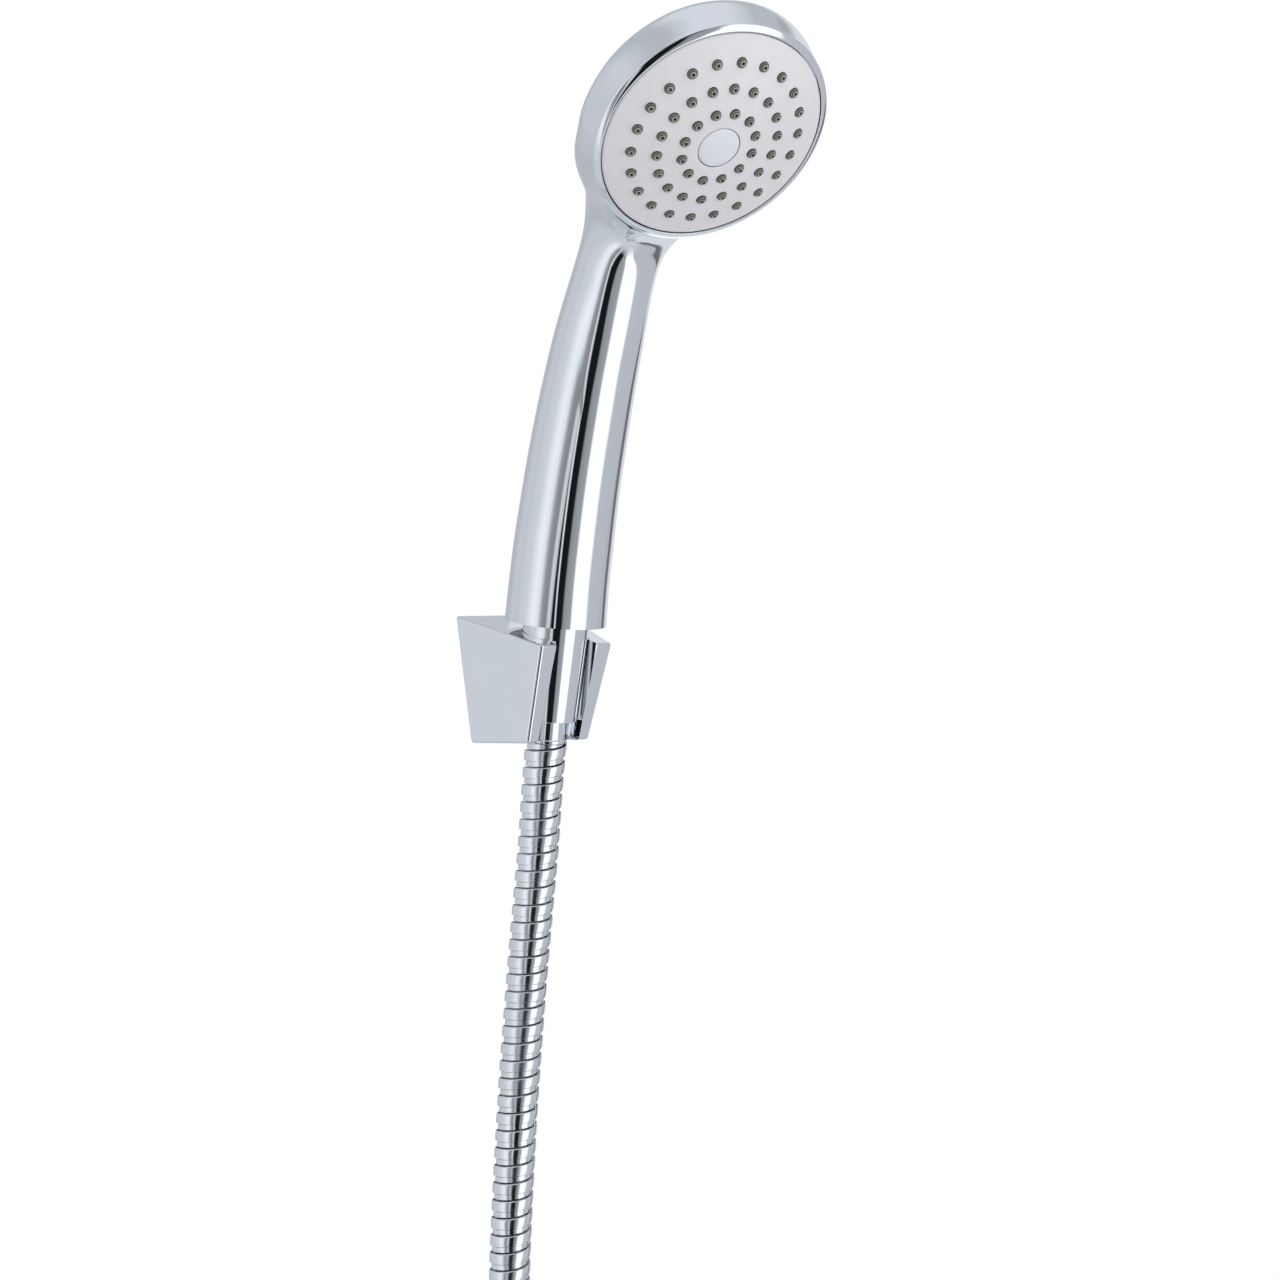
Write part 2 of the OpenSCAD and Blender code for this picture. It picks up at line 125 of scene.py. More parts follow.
class ShowerHeadSizes(bpy.types.PropertyGroup):
    """Sizes of the spray head"""

    face_r: length("Face radius", "Radius of the face plate", 36.1)
    face_top: length("Face height", "Height of the face's middle", 3.8)
    face_dome: length("Face dome", "Radius of the face's dome", 112)
    cap_r: length("Cap radius", "Radius of the cap in the middle", 6.85)
    nozzle_r: length("Nozzle foot", "Radius of a nozzle at its foot", 1.75)
    nozzle_tip: length("Nozzle tip", "Radius of a nozzle at its tip", 1.0)
    nozzle_h: length("Nozzle height", "Height of a nozzle above the face", 1.25)
    swell: length("Swelling", "Height of the face's swelling at a nozzle", 0.3)
    ring_1: length("Inner ring", "Radius of the inner ring of nozzles", 12.1)
    ring_2: length("Middle ring", "Radius of the middle ring of nozzles", 19.9)
    ring_3: length("Outer ring", "Radius of the outer ring of nozzles", 27.8)
    count_1: IntProperty(name="Inner count", description="Nozzles in the inner ring", default=12, min=3)
    count_2: IntProperty(name="Middle count", description="Nozzles in the middle ring", default=18, min=3)
    count_3: IntProperty(name="Outer count", description="Nozzles in the outer ring", default=22, min=3)


class ShowerHandleSizes(bpy.types.PropertyGroup):
    """Sizes of the handset's shell"""

    wall: length("Wall", "Thickness of the shell", 2.2)
    blend: length("Neck fillet", "How softly the handle runs into the head", 19)
    panel_w: length("Panel half width", "Half the width of the front panel", 8.7)
    panel_r: length("Panel crown", "Radius of the front panel's crown", 19)
    panel_step: length("Panel step", "How far the front panel stands proud", 0.2)
    panel_top: length("Panel top", "Height where the front panel ends", 152)


class ShowerHoseSizes(bpy.types.PropertyGroup):
    """Sizes of the hose"""

    hose_r: length("Hose radius", "Radius over the wide band", 7.5)
    pitch: length("Pitch", "Length of one turn of the winding", 6.3)
    inset: length("Inset", "How far the narrow band lies below the wide one", 0.85)
    steps: IntProperty(name="Steps", description="Faces around one turn", default=28, min=12)


class ShowerFinishes(bpy.types.PropertyGroup):
    """Colours of the finishes"""

    chrome: colour("Chrome", "Tint of the chrome plating", (0.885, 0.905, 0.93))
    hose: colour("Hose steel", "Tint of the hose", (0.89, 0.915, 0.935))
    face: colour("Face plate", "Satin grey of the face", (0.624, 0.605, 0.623))
    cap: colour("Cap", "Pale blue grey of the cap", (0.625, 0.635, 0.665))
    nozzle: colour("Nozzles", "Soft grey of the nozzles", (0.30, 0.29, 0.25))
    white: colour("White plastic", "Inner mouldings", (0.78, 0.78, 0.75))
    rubber: colour("Rubber", "Seals and washers", (0.018, 0.018, 0.02))
    brass: colour("Brass", "Turned brass", (0.78, 0.57, 0.28))
    steel: colour("Steel", "Screws and the filter", (0.56, 0.565, 0.58))
    blue: colour("Blue plastic", "The flow regulator", (0.04, 0.13, 0.33))
    tie: colour("Tie", "The ties round the folded hose", (0.02, 0.02, 0.022))


# ---------------------------------------------------------------- node trees


class Value:
    """A node socket that takes part in Python sums."""

    def __init__(self, tree, socket):
        self.tree = tree
        self.socket = socket

    def _math(self, operation, *values):
        return self.tree.node(self.tree.math, {"operation": operation}, dict(enumerate(values)))[0]

    def __add__(self, other):
        return self._math("ADD", self, other)

    def __radd__(self, other):
        return self._math("ADD", other, self)

    def __sub__(self, other):
        return self._math("SUBTRACT", self, other)

    def __rsub__(self, other):
        return self._math("SUBTRACT", other, self)

    def __mul__(self, other):
        return self._math("MULTIPLY", self, other)

    def __rmul__(self, other):
        return self._math("MULTIPLY", other, self)

    def __truediv__(self, other):
        return self._math("DIVIDE", self, other)

    def __rtruediv__(self, other):
        return self._math("DIVIDE", other, self)

    def __pow__(self, other):
        return self._math("POWER", self, other)

    def __neg__(self):
        return self._math("MULTIPLY", self, -1)

    def least(self, other):
        return self._math("MINIMUM", self, other)

    def most(self, other):
        return self._math("MAXIMUM", self, other)

    def sin(self):
        return self._math("SINE", self)

    def cos(self):
        return self._math("COSINE", self)

    def root(self):
        return self._math("SQRT", self)

    def map(self, low, high, to_low=0, to_high=1):
        values = {0: self, 1: low, 2: high, 3: to_low, 4: to_high}
        return self.tree.node("ShaderNodeMapRange", {"clamp": True}, values)[0]


class Tree:
    """A shader or geometry tree. node() makes every node in it."""

    math = "ShaderNodeMath"

    def __init__(self, tree):
        self.tree = tree
        self.tree.nodes.clear()

    def node(self, kind, settings=None, inputs=None):
        made = self.tree.nodes.new(kind)
        for key, value in (settings or {}).items():
            if key == "stops":
                stops = made.color_ramp.elements
                stops.remove(stops[-1])
                stops[0].position = value[0][0]
                for place, tone in value[1:]:
                    stops.new(place)
                for stop, (place, tone) in zip(stops, value):
                    stop.color = ((*tone, 1) if isinstance(tone, tuple) else (tone, tone, tone, 1))
            elif key == "points":
                points = made.mapping.curves[0].points
                while len(points) < len(value):
                    points.new(0.5, 0.5)
                for point, place in zip(points, value):
                    point.location = place
                    point.handle_type = "VECTOR"
                made.mapping.update()
            else:
                setattr(made, key, value)
        for key, value in (inputs or {}).items():
            socket = made.inputs[key]
            if isinstance(value, Value):
                self.tree.links.new(value.socket, socket)
            elif socket.type == "RGBA":
                socket.default_value = (*tuple(value)[:3], 1)
            else:
                socket.default_value = value
        return [Value(self, s) for s in made.outputs if s.enabled]

    def mix(self, factor, a, b):
        settings = {"data_type": "RGBA"}
        return self.node("ShaderNodeMix", settings, {0: factor, 6: a, 7: b})[0]

    def noise(self, scale, detail=2, roughness=0.5, where=None, stretch=None):
        where = where or self.node("ShaderNodeTexCoord")[3]
        if stretch:
            where = self.node("ShaderNodeMapping", {}, {"Vector": where, "Scale": stretch})[0]
        values = {"Vector": where, "Scale": scale, "Detail": detail, "Roughness": roughness}
        return self.node("ShaderNodeTexNoise", {}, values)[0]


def new_finish(name):
    made = bpy.data.materials.new(name)
    made.use_nodes = True
    return made, Tree(made.node_tree)


def close_finish(tree, height=None, depth=0.0, **values):
    """The surface shader, with a bump when a height is given."""
    inputs = {key.replace("_", " "): value for key, value in values.items()}
    if height is not None:
        bump = {"Strength": 1.0, "Distance": depth * MM, "Height": height}
        inputs["Normal"] = tree.node("ShaderNodeBump", {}, bump)[0]
    surface = tree.node("ShaderNodeBsdfPrincipled", {}, inputs)[0]
    tree.node("ShaderNodeOutputMaterial", {}, {"Surface": surface})


def about_axis(tree, place):
    """Distance from a frame's own Z axis and height along it, in mm."""
    where = tree.node("ShaderNodeTexCoord")[3]
    parts = tree.node("ShaderNodeSeparateXYZ", {}, {0: where})
    axis = place.to_3x3() @ Vector((0, 0, 1))
    x, y, z = ((part - start) / MM for part, start in zip(parts, place.translation))
    height = x * axis.x + y * axis.y + z * axis.z
    far = (x * x + y * y + z * z - height * height).most(0).root()
    return far, height


def above_face(tree, sizes):
    """Height above the domed face, in mm."""
    far, height = about_axis(tree, IN_HEAD)
    dome = sizes.face_dome / MM
    return height - sizes.face_top / MM + dome - (dome * dome - far * far).most(0).root()


def plated(name, tint, rough=0.045, seat=None):
    """Polished plating with faint wipe marks. Inside a seat's cone it is less polished."""
    made, tree = new_finish(name)
    clouds = tree.noise(60, 3)
    marks = tree.noise(900, 2, 0.6, stretch=(1, 1, 0.12))
    spots = tree.noise(420, 2).map(0.70, 0.78)
    rough_here = (
        clouds.map(0.35, 0.7, rough * 0.6, rough * 1.5)
        + marks.map(0.55, 0.8, 0, 0.03)
        + spots * 0.05
    )
    if seat:
        far, height = about_axis(tree, seat)
        rough_here = rough_here + (far - height * 0.052).map(11.5, 12.3, 0.07, 0)
    shade = clouds.map(0.3, 0.75, 0.0, 0.5)
    base = tree.mix(shade, tint, [c * 0.965 for c in tint])
    close_finish(tree, marks * 0.0004, 1.0, Base_Color=base, Metallic=1.0, Roughness=rough_here)
    return made


def moulded(name, tint, rough=0.42, grain=0.012, dust=0.04, coat=0.0, sizes=None):
    """Moulded plastic: fine grain, slight cloudiness, a trace of limescale.

    With the head's sizes it also paints shade: surfaces below the face, in the gaps under its edge, are
    painted near black.
    """
    made, tree = new_finish(name)
    fine = tree.noise(2600, 2, 0.6)
    clouds = tree.noise(45, 4, 0.55)
    flecks = tree.noise(700, 2).map(0.66, 0.8)
    base = tree.mix(clouds.map(0.3, 0.75), tint, [min(1, c * 1.045) for c in tint])
    base = tree.mix(flecks * dust, base, (0.92, 0.92, 0.92))
    if sizes:
        # painted shade: fades to near black from 0.2 to 0.4 mm below the face's dome, standing in for the
        # shade in the gaps under the face and round the cap
        gap = (-above_face(tree, sizes)).map(0.2, 0.4)
        base = tree.mix(gap, base, (0.03, 0.028, 0.025))
    close_finish(
        tree,
        fine,
        grain,
        Base_Color=base,
        Roughness=clouds.map(0.3, 0.7, rough * 0.88, rough * 1.12) + flecks * 0.05,
        Coat_Weight=coat,
    )
    return made


def soft_rubber(name, tint, rough=0.55, sizes=None):
    """Soft rubber. With the head's sizes, the nozzles get painted light and shade: their lips and ledges
    keep the pale tone as a painted highlight, their sides are painted dark as shade, and their bores are
    painted near black as shade.
    """
    made, tree = new_finish(name)
    fine = tree.noise(1800, 3, 0.6)
    clouds = tree.noise(160, 3)
    base = tree.mix(clouds.map(0.3, 0.75), tint, [min(1, c * 1.35) for c in tint])
    if sizes:
        up = above_face(tree, sizes)
        top = sizes.nozzle_h / MM
        lip = up.map(top - 0.06, top - 0.02)
        lit_ledge = up.map(top - 0.48, top - 0.42) * (1 - up.map(top - 0.36, top - 0.3))
        bore_shade = up.map(top - 0.3, top - 0.2) * (1 - up.map(top - 0.06, top - 0.04))
        # painted light and shade: the nozzle sides are painted dark as shade, the lips and ledges keep the
        # pale tone as a painted highlight
        base = tree.mix(lip.most(lit_ledge * 0.6), [c * 0.22 for c in tint], base)
        # painted shade: the bore of each nozzle is painted near black
        base = tree.mix(bore_shade, base, (0.012, 0.011, 0.01))
    close_finish(
        tree, fine, 0.02, Base_Color=base, Roughness=clouds.map(0.3, 0.7, rough * 0.85, rough * 1.15),
    )
    return made


def turned_metal(name, tint, rough=0.24):
    """Lathe-turned metal: fine grooves and slight tarnish."""
    made, tree = new_finish(name)
    grooves = tree.noise(500, 2, 0.5, stretch=(0.1, 0.1, 6))
    clouds = tree.noise(120, 4)
    base = tree.mix(clouds.map(0.4, 0.75), tint, [c * 0.72 for c in tint])
    close_finish(
        tree,
        grooves,
        0.02,
        Base_Color=base,
        Metallic=1.0,
        Roughness=clouds.map(0.3, 0.7, rough * 0.75, rough * 1.4)
        + grooves.map(0.4, 0.7, 0, 0.06),
    )
    return made


FINISH = {}


def make_finishes(scene):
    tints, head = scene.shower_finishes, scene.shower_head
    FINISH["chrome"] = plated("Polished chrome", tints.chrome, 0.035)
    FINISH["bracket"] = plated("Bracket chrome", tints.chrome, 0.035, IN_SEAT)
    FINISH["hose"] = plated("Spiral steel", tints.hose, 0.18)
    FINISH["face"] = moulded("Satin grey face", tints.face, 0.38, 0.01, sizes=head)
    FINISH["cap"] = moulded("Pale cap", tints.cap, 0.3, 0.004, 0.02, 0.2, head)
    FINISH["nozzle"] = soft_rubber("Soft grey nozzle", tints.nozzle, 0.4, head)
    FINISH["white"] = moulded("White moulding", tints.white, 0.4)
    FINISH["rubber"] = soft_rubber("Black rubber", tints.rubber)
    FINISH["brass"] = turned_metal("Turned brass", tints.brass)
    FINISH["steel"] = turned_metal("Turned steel", tints.steel, 0.3)
    FINISH["blue"] = moulded("Blue moulding", tints.blue, 0.35)
    FINISH["tie"] = moulded("Black tie", tints.tie, 0.35, 0.02)


# ---------------------------------------------------------------- mesh tools


def smooth(mesh, angle=35):
    mesh.shade_smooth()
    mesh.set_sharp_from_angle(angle=math.radians(angle))


def new_object(name, data):
    made = bpy.data.objects.new(name, data)
    bpy.context.scene.collection.objects.link(made)
    return made


def add_piece(name, mesh, finish, body, record_slot, *replaced, angle=35):
    """A finished piece that rides on a body and stands for its CAD nodes."""
    mesh.name = name
    mesh.materials.clear()
    mesh.materials.append(FINISH[finish])
    smooth(mesh, angle)
    piece = new_object(name, mesh)
    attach(piece, body)
    if replaced:
        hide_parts(*replaced)
    return piece


def mesh_from(points, faces, place=None):
    """A mesh with its doubles merged and its faces outwards, put in its place."""
    mesh = bpy.data.meshes.new("part")
    mesh.from_pydata([tuple(p) for p in points], [], [tuple(f) for f in faces])
    work = bmesh.new()
    work.from_mesh(mesh)
    bmesh.ops.remove_doubles(work, verts=work.verts, dist=1e-6)
    bmesh.ops.recalc_face_normals(work, faces=work.faces)
    if place is not None:
        work.transform(place)
    work.to_mesh(mesh)
    work.free()
    return mesh


def revolve(outline, place, sides=128, radius_at=None):
    """Turns a closed outline of (radius, height) in mm about the local Z axis."""
    points = []
    count = len(outline)
    for i in range(sides):
        a = 2 * math.pi * i / sides
        for r, h in outline:
            if radius_at:
                r = radius_at(r, h, a)
            points.append((r * math.cos(a) * MM, r * math.sin(a) * MM, h * MM))
    faces = []
    for i in range(sides):
        j = (i + 1) % sides
        for k in range(count):
            m = (k + 1) % count
            on_axis = outline[k][0] < 1e-6 and outline[m][0] < 1e-6
            if not on_axis:
                faces.append((i * count + k, j * count + k, j * count + m, i * count + m))
    return mesh_from(points, faces, place)


def rounded(corners, steps=4):
    """A closed outline with its corners rounded; each corner is (radius, height, rounding)."""
    out = []
    n = len(corners)
    for i, (x, y, r) in enumerate(corners):
        here = Vector((x, y))
        if r <= 0:
            out.append((x, y))
            continue
        before = Vector(corners[i - 1][:2]) - here
        after = Vector(corners[(i + 1) % n][:2]) - here
        reach = min(r, before.length * 0.49, after.length * 0.49)
        a = here + before.normalized() * reach
        b = here + after.normalized() * reach
        for k in range(steps + 1):
            t = k / steps
            p = a * (1 - t) ** 2 + here * 2 * t * (1 - t) + b * t * t
            out.append((p.x, p.y))
    return out


def grid_faces(rows, columns, start=0, flip=False, closed=False):
    """Faces of a grid of points that closes round its columns, and round its rows if closed."""
    faces = []
    for i in range(rows - 1):
        for j in range(columns):
            k = (j + 1) % columns
            quad = (
                start + i * columns + j, start + i * columns + k, start + (i + 1) * columns + k,
                start + (i + 1) * columns + j,
            )
            faces.append(quad[::-1] if flip else quad)
    if closed:
        last = start + (rows - 1) * columns
        for j in range(columns):
            k = (j + 1) % columns
            faces.append((last + j, last + k, start + k, start + j))
    return faces


def spline(xs, ys, at):
    """A natural cubic curve through points."""
    n = len(xs)
    xs, ys = np.asarray(xs, float), np.asarray(ys, float)
    h = np.diff(xs)
    a = np.zeros((n, n))
    b = np.zeros(n)
    a[0, 0] = a[-1, -1] = 1
    for i in range(1, n - 1):
        a[i, i - 1 : i + 2] = h[i - 1], 2 * (h[i - 1] + h[i]), h[i]
        b[i] = 6 * ((ys[i + 1] - ys[i]) / h[i] - (ys[i] - ys[i - 1]) / h[i - 1])
    m = np.linalg.solve(a, b)
    k = np.clip(np.searchsorted(xs, at, side="right") - 1, 0, n - 2)
    left, right, w = at - xs[k], xs[k + 1] - at, h[k]
    return (
        m[k] * right**3 / (6 * w)
        + m[k + 1] * left**3 / (6 * w)
        + (ys[k] / w - m[k] * w / 6) * right
        + (ys[k + 1] / w - m[k + 1] * w / 6) * left
    )


def fade(x, low, high):
    t = np.clip((x - low) / (high - low), 0, 1)
    return t * t * (3 - 2 * t)


def node_result(source, tree, values, name):
    """Runs a geometry tree on an object and gives the plain mesh it makes."""
    step = source.modifiers.new(name, "NODES")
    step.node_group = tree
    sockets = {s.name: s.identifier for s in tree.interface.items_tree if s.in_out == "INPUT"}
    for key, value in values.items():
        step[sockets[key]] = value
    graph = bpy.context.evaluated_depsgraph_get()
    graph.update()
    mesh = bpy.data.meshes.new_from_object(source.evaluated_get(graph))
    source.modifiers.remove(step)
    bpy.data.objects.remove(source)
    return mesh


def geometry_tree(name, sockets):
    """An empty geometry tree with named inputs, and its Group Input values by name."""
    made = bpy.data.node_groups.new(name, "GeometryNodeTree")
    tree = Tree(made)
    made.interface.new_socket("Geometry", in_out="OUTPUT", socket_type="NodeSocketGeometry")
    for label, kind in sockets:
        made.interface.new_socket(label, in_out="INPUT", socket_type="NodeSocket" + kind)
    given = tree.node("NodeGroupInput")
    return made, tree, {label: given[i] for i, (label, kind) in enumerate(sockets)}


def close_tree(tree, geometry, finish):
    real = tree.node("GeometryNodeRealizeInstances", {}, {0: geometry})[0]
    done = tree.node("GeometryNodeSetMaterial", {}, {"Geometry": real, "Material": finish})[0]
    tree.node("NodeGroupOutput", {}, {0: done})


# ---------------------------------------------------------------- handset shell


NOSE = 8.0  # mm over which the handle's buried end rounds off
# Places along the spine, counted in stations
NECK_FROM = 5.6  # the neck's lookup table starts here
BLEND_FROM = 6.2  # rings above here are settled onto the blended form
STEM_TO = 9.4  # the last ring that follows the handle
# The rings over the head open out from a small circle that sits off its middle
FIRST_RING = 0.36
FIRST_DROP = 0.56


class ShellForm:
    """The outside of the handset as one smooth form: a bent handle that runs into a round head.

    Everything in here is in mm, before the handset is turned in its seat.
    """

    square = 2.05

    def __init__(self, sizes):
        self.blend = sizes.blend / MM
        self.panel_w = sizes.panel_w / MM
        self.panel_r = sizes.panel_r / MM
        self.step = sizes.panel_step / MM
        self.panel_top = sizes.panel_top / MM
        self.order = np.arange(len(STATIONS), dtype=float)
        self.table = np.array(STATIONS, float)
        self.fine = self.station(np.linspace(NECK_FROM, len(STATIONS) - 1, 330))
        step = np.diff(self.fine["centre"], axis=0)
        self.gap = np.append(np.linalg.norm(step, axis=1), 1.0)
        turn = FACE_TURN
        self.up = np.array([0, math.cos(turn), math.sin(turn)])
        self.out = np.array([0, -math.sin(turn), math.cos(turn)])
        self.middle = np.array(HEAD_AT) / MM
        # where the panel's edge lies round the handle, as an angle
        self.edge = self.edge_angle(self.table[3, 3])

    def edge_angle(self, half_width):
        return math.asin((self.panel_w / half_width) ** (self.square / 2))

    def station(self, t):
        """Centre, direction, front, half width and half depth along the spine."""
        out, z, lean, a, b = (spline(self.order, self.table[:, i], t) for i in range(5))
        lean = np.radians(lean)
        nil = np.zeros_like(out)
        return {
            "centre": np.stack([nil, -out, z], -1),
            "along": np.stack([nil, -np.sin(lean), np.cos(lean)], -1),
            "front": np.stack([nil, -np.cos(lean), -np.sin(lean)], -1), "a": a, "b": b,
        }

    def handle(self, p):
        """Roughly the distance outside the handle."""
        f = self.fine
        flat = p[:, None, 1:] - f["centre"][None, :, 1:]
        k = np.argmin((flat**2).sum(-1), 1)
        past = ((p - f["centre"][k]) * f["along"][k]).sum(-1)
        last = len(f["a"]) - 1
        spot = np.clip(k + past / self.gap[k], 0, last - 1e-6)
        low = spot.astype(int)
        share = spot - low
        here = {}
        for key, values in f.items():
            part = share if values.ndim == 1 else share[:, None]
            here[key] = values[low] * (1 - part) + values[low + 1] * part
        offset = p - here["centre"]
        v = (offset * here["front"]).sum(-1)
        s = (offset * here["along"]).sum(-1)
        a, b = here["a"], here["b"]
        r = (np.abs(p[:, 0] / a) ** self.square + np.abs(v / b) ** self.square) ** (1 / self.square)
        barrel = (r - 1) * np.minimum(a, b)
        front, counts = self.panel(p[:, 0], here["centre"][:, 2], a, b)
        barrel += counts * (v > 0) * ((v - front) * 0.95 - barrel)
        # past the last station the handle ends in a round nose, inside the head
        reach = np.maximum(s, 0) ** 2 / (np.maximum(s, 0) + NOSE)
        return np.where(k == last, np.hypot(np.maximum(barrel, 0), reach), barrel)

    def panel(self, x, height, a, b):
        """How far forward the front panel lies at x, and how much it counts there."""
        w = self.panel_w
        edge = b * (1 - (w / a) ** self.square) ** (1 / self.square)
        crown = np.sqrt(np.maximum(self.panel_r**2 - x**2, 1))
        front = edge + crown - math.sqrt(self.panel_r**2 - w**2) + self.step
        above = np.maximum(height - (self.panel_top - w), 0)
        far = (np.abs(x) ** 4 + above**4) ** 0.25 - w
        soft = 0.2 + 3.3 * fade(height, 92, 122) * fade(-x, -3, 3)
        soft = soft + 2 * fade(above / w, 0.1, 0.8)
        return front, 1 - fade(far, -soft, soft)

    def head(self, p):
        """Roughly the distance outside the head: a crown and a slightly flared wall."""
        q = p - self.middle
        x, y, h = q[:, 0], q @ self.up, q @ self.out
        r = np.hypot(x, y)
        crown_r = 84.5
        crown = np.sqrt(r**2 + (h + 26 - crown_r) ** 2) - crown_r
        wall = (r - (38.0 + (-2.2 - h) * 0.1565)) * 0.988
        return self.merge(crown, wall, 6.5, most=True)

    @staticmethod
    def merge(a, b, k, most=False):
        """The least or the most of two values, with a fillet of about k."""
        sign = -1 if most else 1
        a, b = sign * a, sign * b
        h = np.maximum(k - np.abs(a - b), 0) / k
        return sign * (np.minimum(a, b) - h**3 * k / 6)

    def value(self, p):
        return self.merge(self.handle(p), self.head(p), self.blend)

    def slope(self, p, step=0.02):
        out = np.empty_like(p)
        for i in range(3):
            d = np.zeros(3)
            d[i] = step
            out[:, i] = (self.value(p + d) - self.value(p - d)) / (2 * step)
        return out

    def settle(self, p, rounds=4):
        """Moves points onto the surface."""
        for _ in range(rounds):
            g = self.slope(p)
            f = self.value(p)
            move = f / np.maximum((g**2).sum(-1), 0.05)
            p = p - np.clip(move, -3, 3)[:, None] * g
        return p

    def angles(self):
        """Places round a ring, from the front: closer together at the panel's edges."""
        edge = self.edge
        inner = np.linspace(-edge * 0.93, edge * 0.93, 27)
        close = edge * np.array([0.955, 0.972, 0.985, 0.993, 1.0, 1.007, 1.015, 1.03, 1.05])
        rest = np.linspace(edge * 1.10, 2 * math.pi - edge * 1.10, 96)
        return np.concatenate([inner, close, rest, 2 * math.pi - close[::-1]])

    def ring(self, t, angles):
        s = self.station(np.full(1, t))
        a, b = s["a"][0], s["b"][0]

        def power(v):
            return np.sign(v) * np.abs(v) ** (2 / self.square)

        # the points keep to the panel's edges while the handle's width changes
        here = self.edge_angle(a)
        turn = np.where(angles > math.pi, angles - 2 * math.pi, angles)
        size = np.abs(turn)
        size = np.interp(size, [0, self.edge, math.pi], [0, here, math.pi])
        turn = np.sign(turn) * size
        x, v = a * power(np.sin(turn)), b * power(np.cos(turn))
        front, counts = self.panel(x, s["centre"][0][2], a, b)
        v = v + counts * (v > 0) * (front - v)
        return s["centre"][0] + np.outer(x, [1, 0, 0]) + np.outer(v, s["front"][0])

    def head_point(self, x, y):
        """A point of the head for a place in a disc whose rim, 1, is the head's front edge."""
        share = np.hypot(x, y)
        angle = np.arctan2(x, y)
        crown_end = 0.745
        on_crown = np.minimum(share / crown_end, 1)
        on_wall = np.clip((share - crown_end) / (1 - crown_end), 0, 1)
        r = 39.9 * on_crown - 1.71 * on_wall
        h = -26 + 10.2 * on_crown**2 + 12.4 * on_wall
        return (
            self.middle
            + (r * np.sin(angle))[:, None] * np.array([1, 0, 0])
            + (r * np.cos(angle))[:, None] * self.up
            + h[:, None] * self.out
        )

    def rows(self):
        """Rings of points from the handle's foot to the head's front edge."""
        angles = self.angles()
        places = np.linspace(0, STEM_TO, 90)
        stem = [self.ring(t, angles) for t in places]
        spread = []
        for t in np.linspace(0, 1, 56):
            size = FIRST_RING + (1 - FIRST_RING) * t
            drop = -FIRST_DROP * (1 - t)
            spread.append(self.head_point(size * np.sin(angles), drop - size * np.cos(angles)))
        bridge = [stem[-1] * (1 - t) + spread[0] * t for t in np.linspace(0, 1, 28)[1:-1]]
        rows = np.array(stem + bridge + spread)
        count = rows.shape[1]
        last = rows[-1].copy()
        blended = int(np.searchsorted(places, BLEND_FROM))
        first = len(stem)

        def settle(start, rounds):
            flat = self.settle(rows[start:-1].reshape(-1, 3), rounds)
            rows[start:-1] = flat.reshape(-1, count, 3)

        settle(blended, 2)
        smoothing = 26
        for turn in range(smoothing):
            part = rows[first:-1]
            for _ in range(2):
                mean = (
                    rows[first - 1 : -2]
                    + rows[first + 1 :]
                    + np.roll(part, 1, 1)
                    + np.roll(part, -1, 1)
                ) / 4
                part = part + 0.5 * (mean - part)
                rows[first:-1] = part
            if turn % 4 == 3:
                settle(first, 2)
        settle(blended, 4)
        rows[-1] = last
        return rows

    @staticmethod
    def normals(rows):
        along = np.gradient(rows, axis=0)
        round_ = np.roll(rows, -1, 1) - np.roll(rows, 1, 1)
        n = np.cross(round_, along)
        return n / np.maximum(np.linalg.norm(n, axis=-1, keepdims=True), 1e-9)


def shell_mesh(sizes):
    form = ShellForm(sizes)
    rows = form.rows()
    normals = form.normals(rows)
    if ((rows - rows.mean(axis=1, keepdims=True))[:60] * normals[:60]).sum() < 0:
        normals = -normals
    wall = sizes.wall / MM
    inner = rows - wall * normals
    # the foot and the front edge are cut square to their own axes
    s = form.station(np.zeros(1))
    along = s["along"][0]
    for k in range(6):
        gap = ((inner[k] - rows[0]) * along).sum(-1)
        inner[k] -= np.outer(np.minimum(gap, 0) if k else gap, along)
    gap = (inner[-1] - rows[-1]) @ form.out
    inner[-1] -= np.outer(gap, form.out)
    count, around = rows.shape[:2]
    points = np.concatenate([rows.reshape(-1, 3), inner.reshape(-1, 3)]) * MM
    faces = grid_faces(count, around)
    faces += grid_faces(count, around, count * around, flip=True)
    shift = count * around
    for j in range(around):
        k = (j + 1) % around
        faces.append((j, shift + j, shift + k, k))
        a, b = (count - 1) * around + j, (count - 1) * around + k
        faces.append((a, b, shift + b, shift + a))
    return mesh_from(points, faces, TURNED)


# ---------------------------------------------------------------- operators


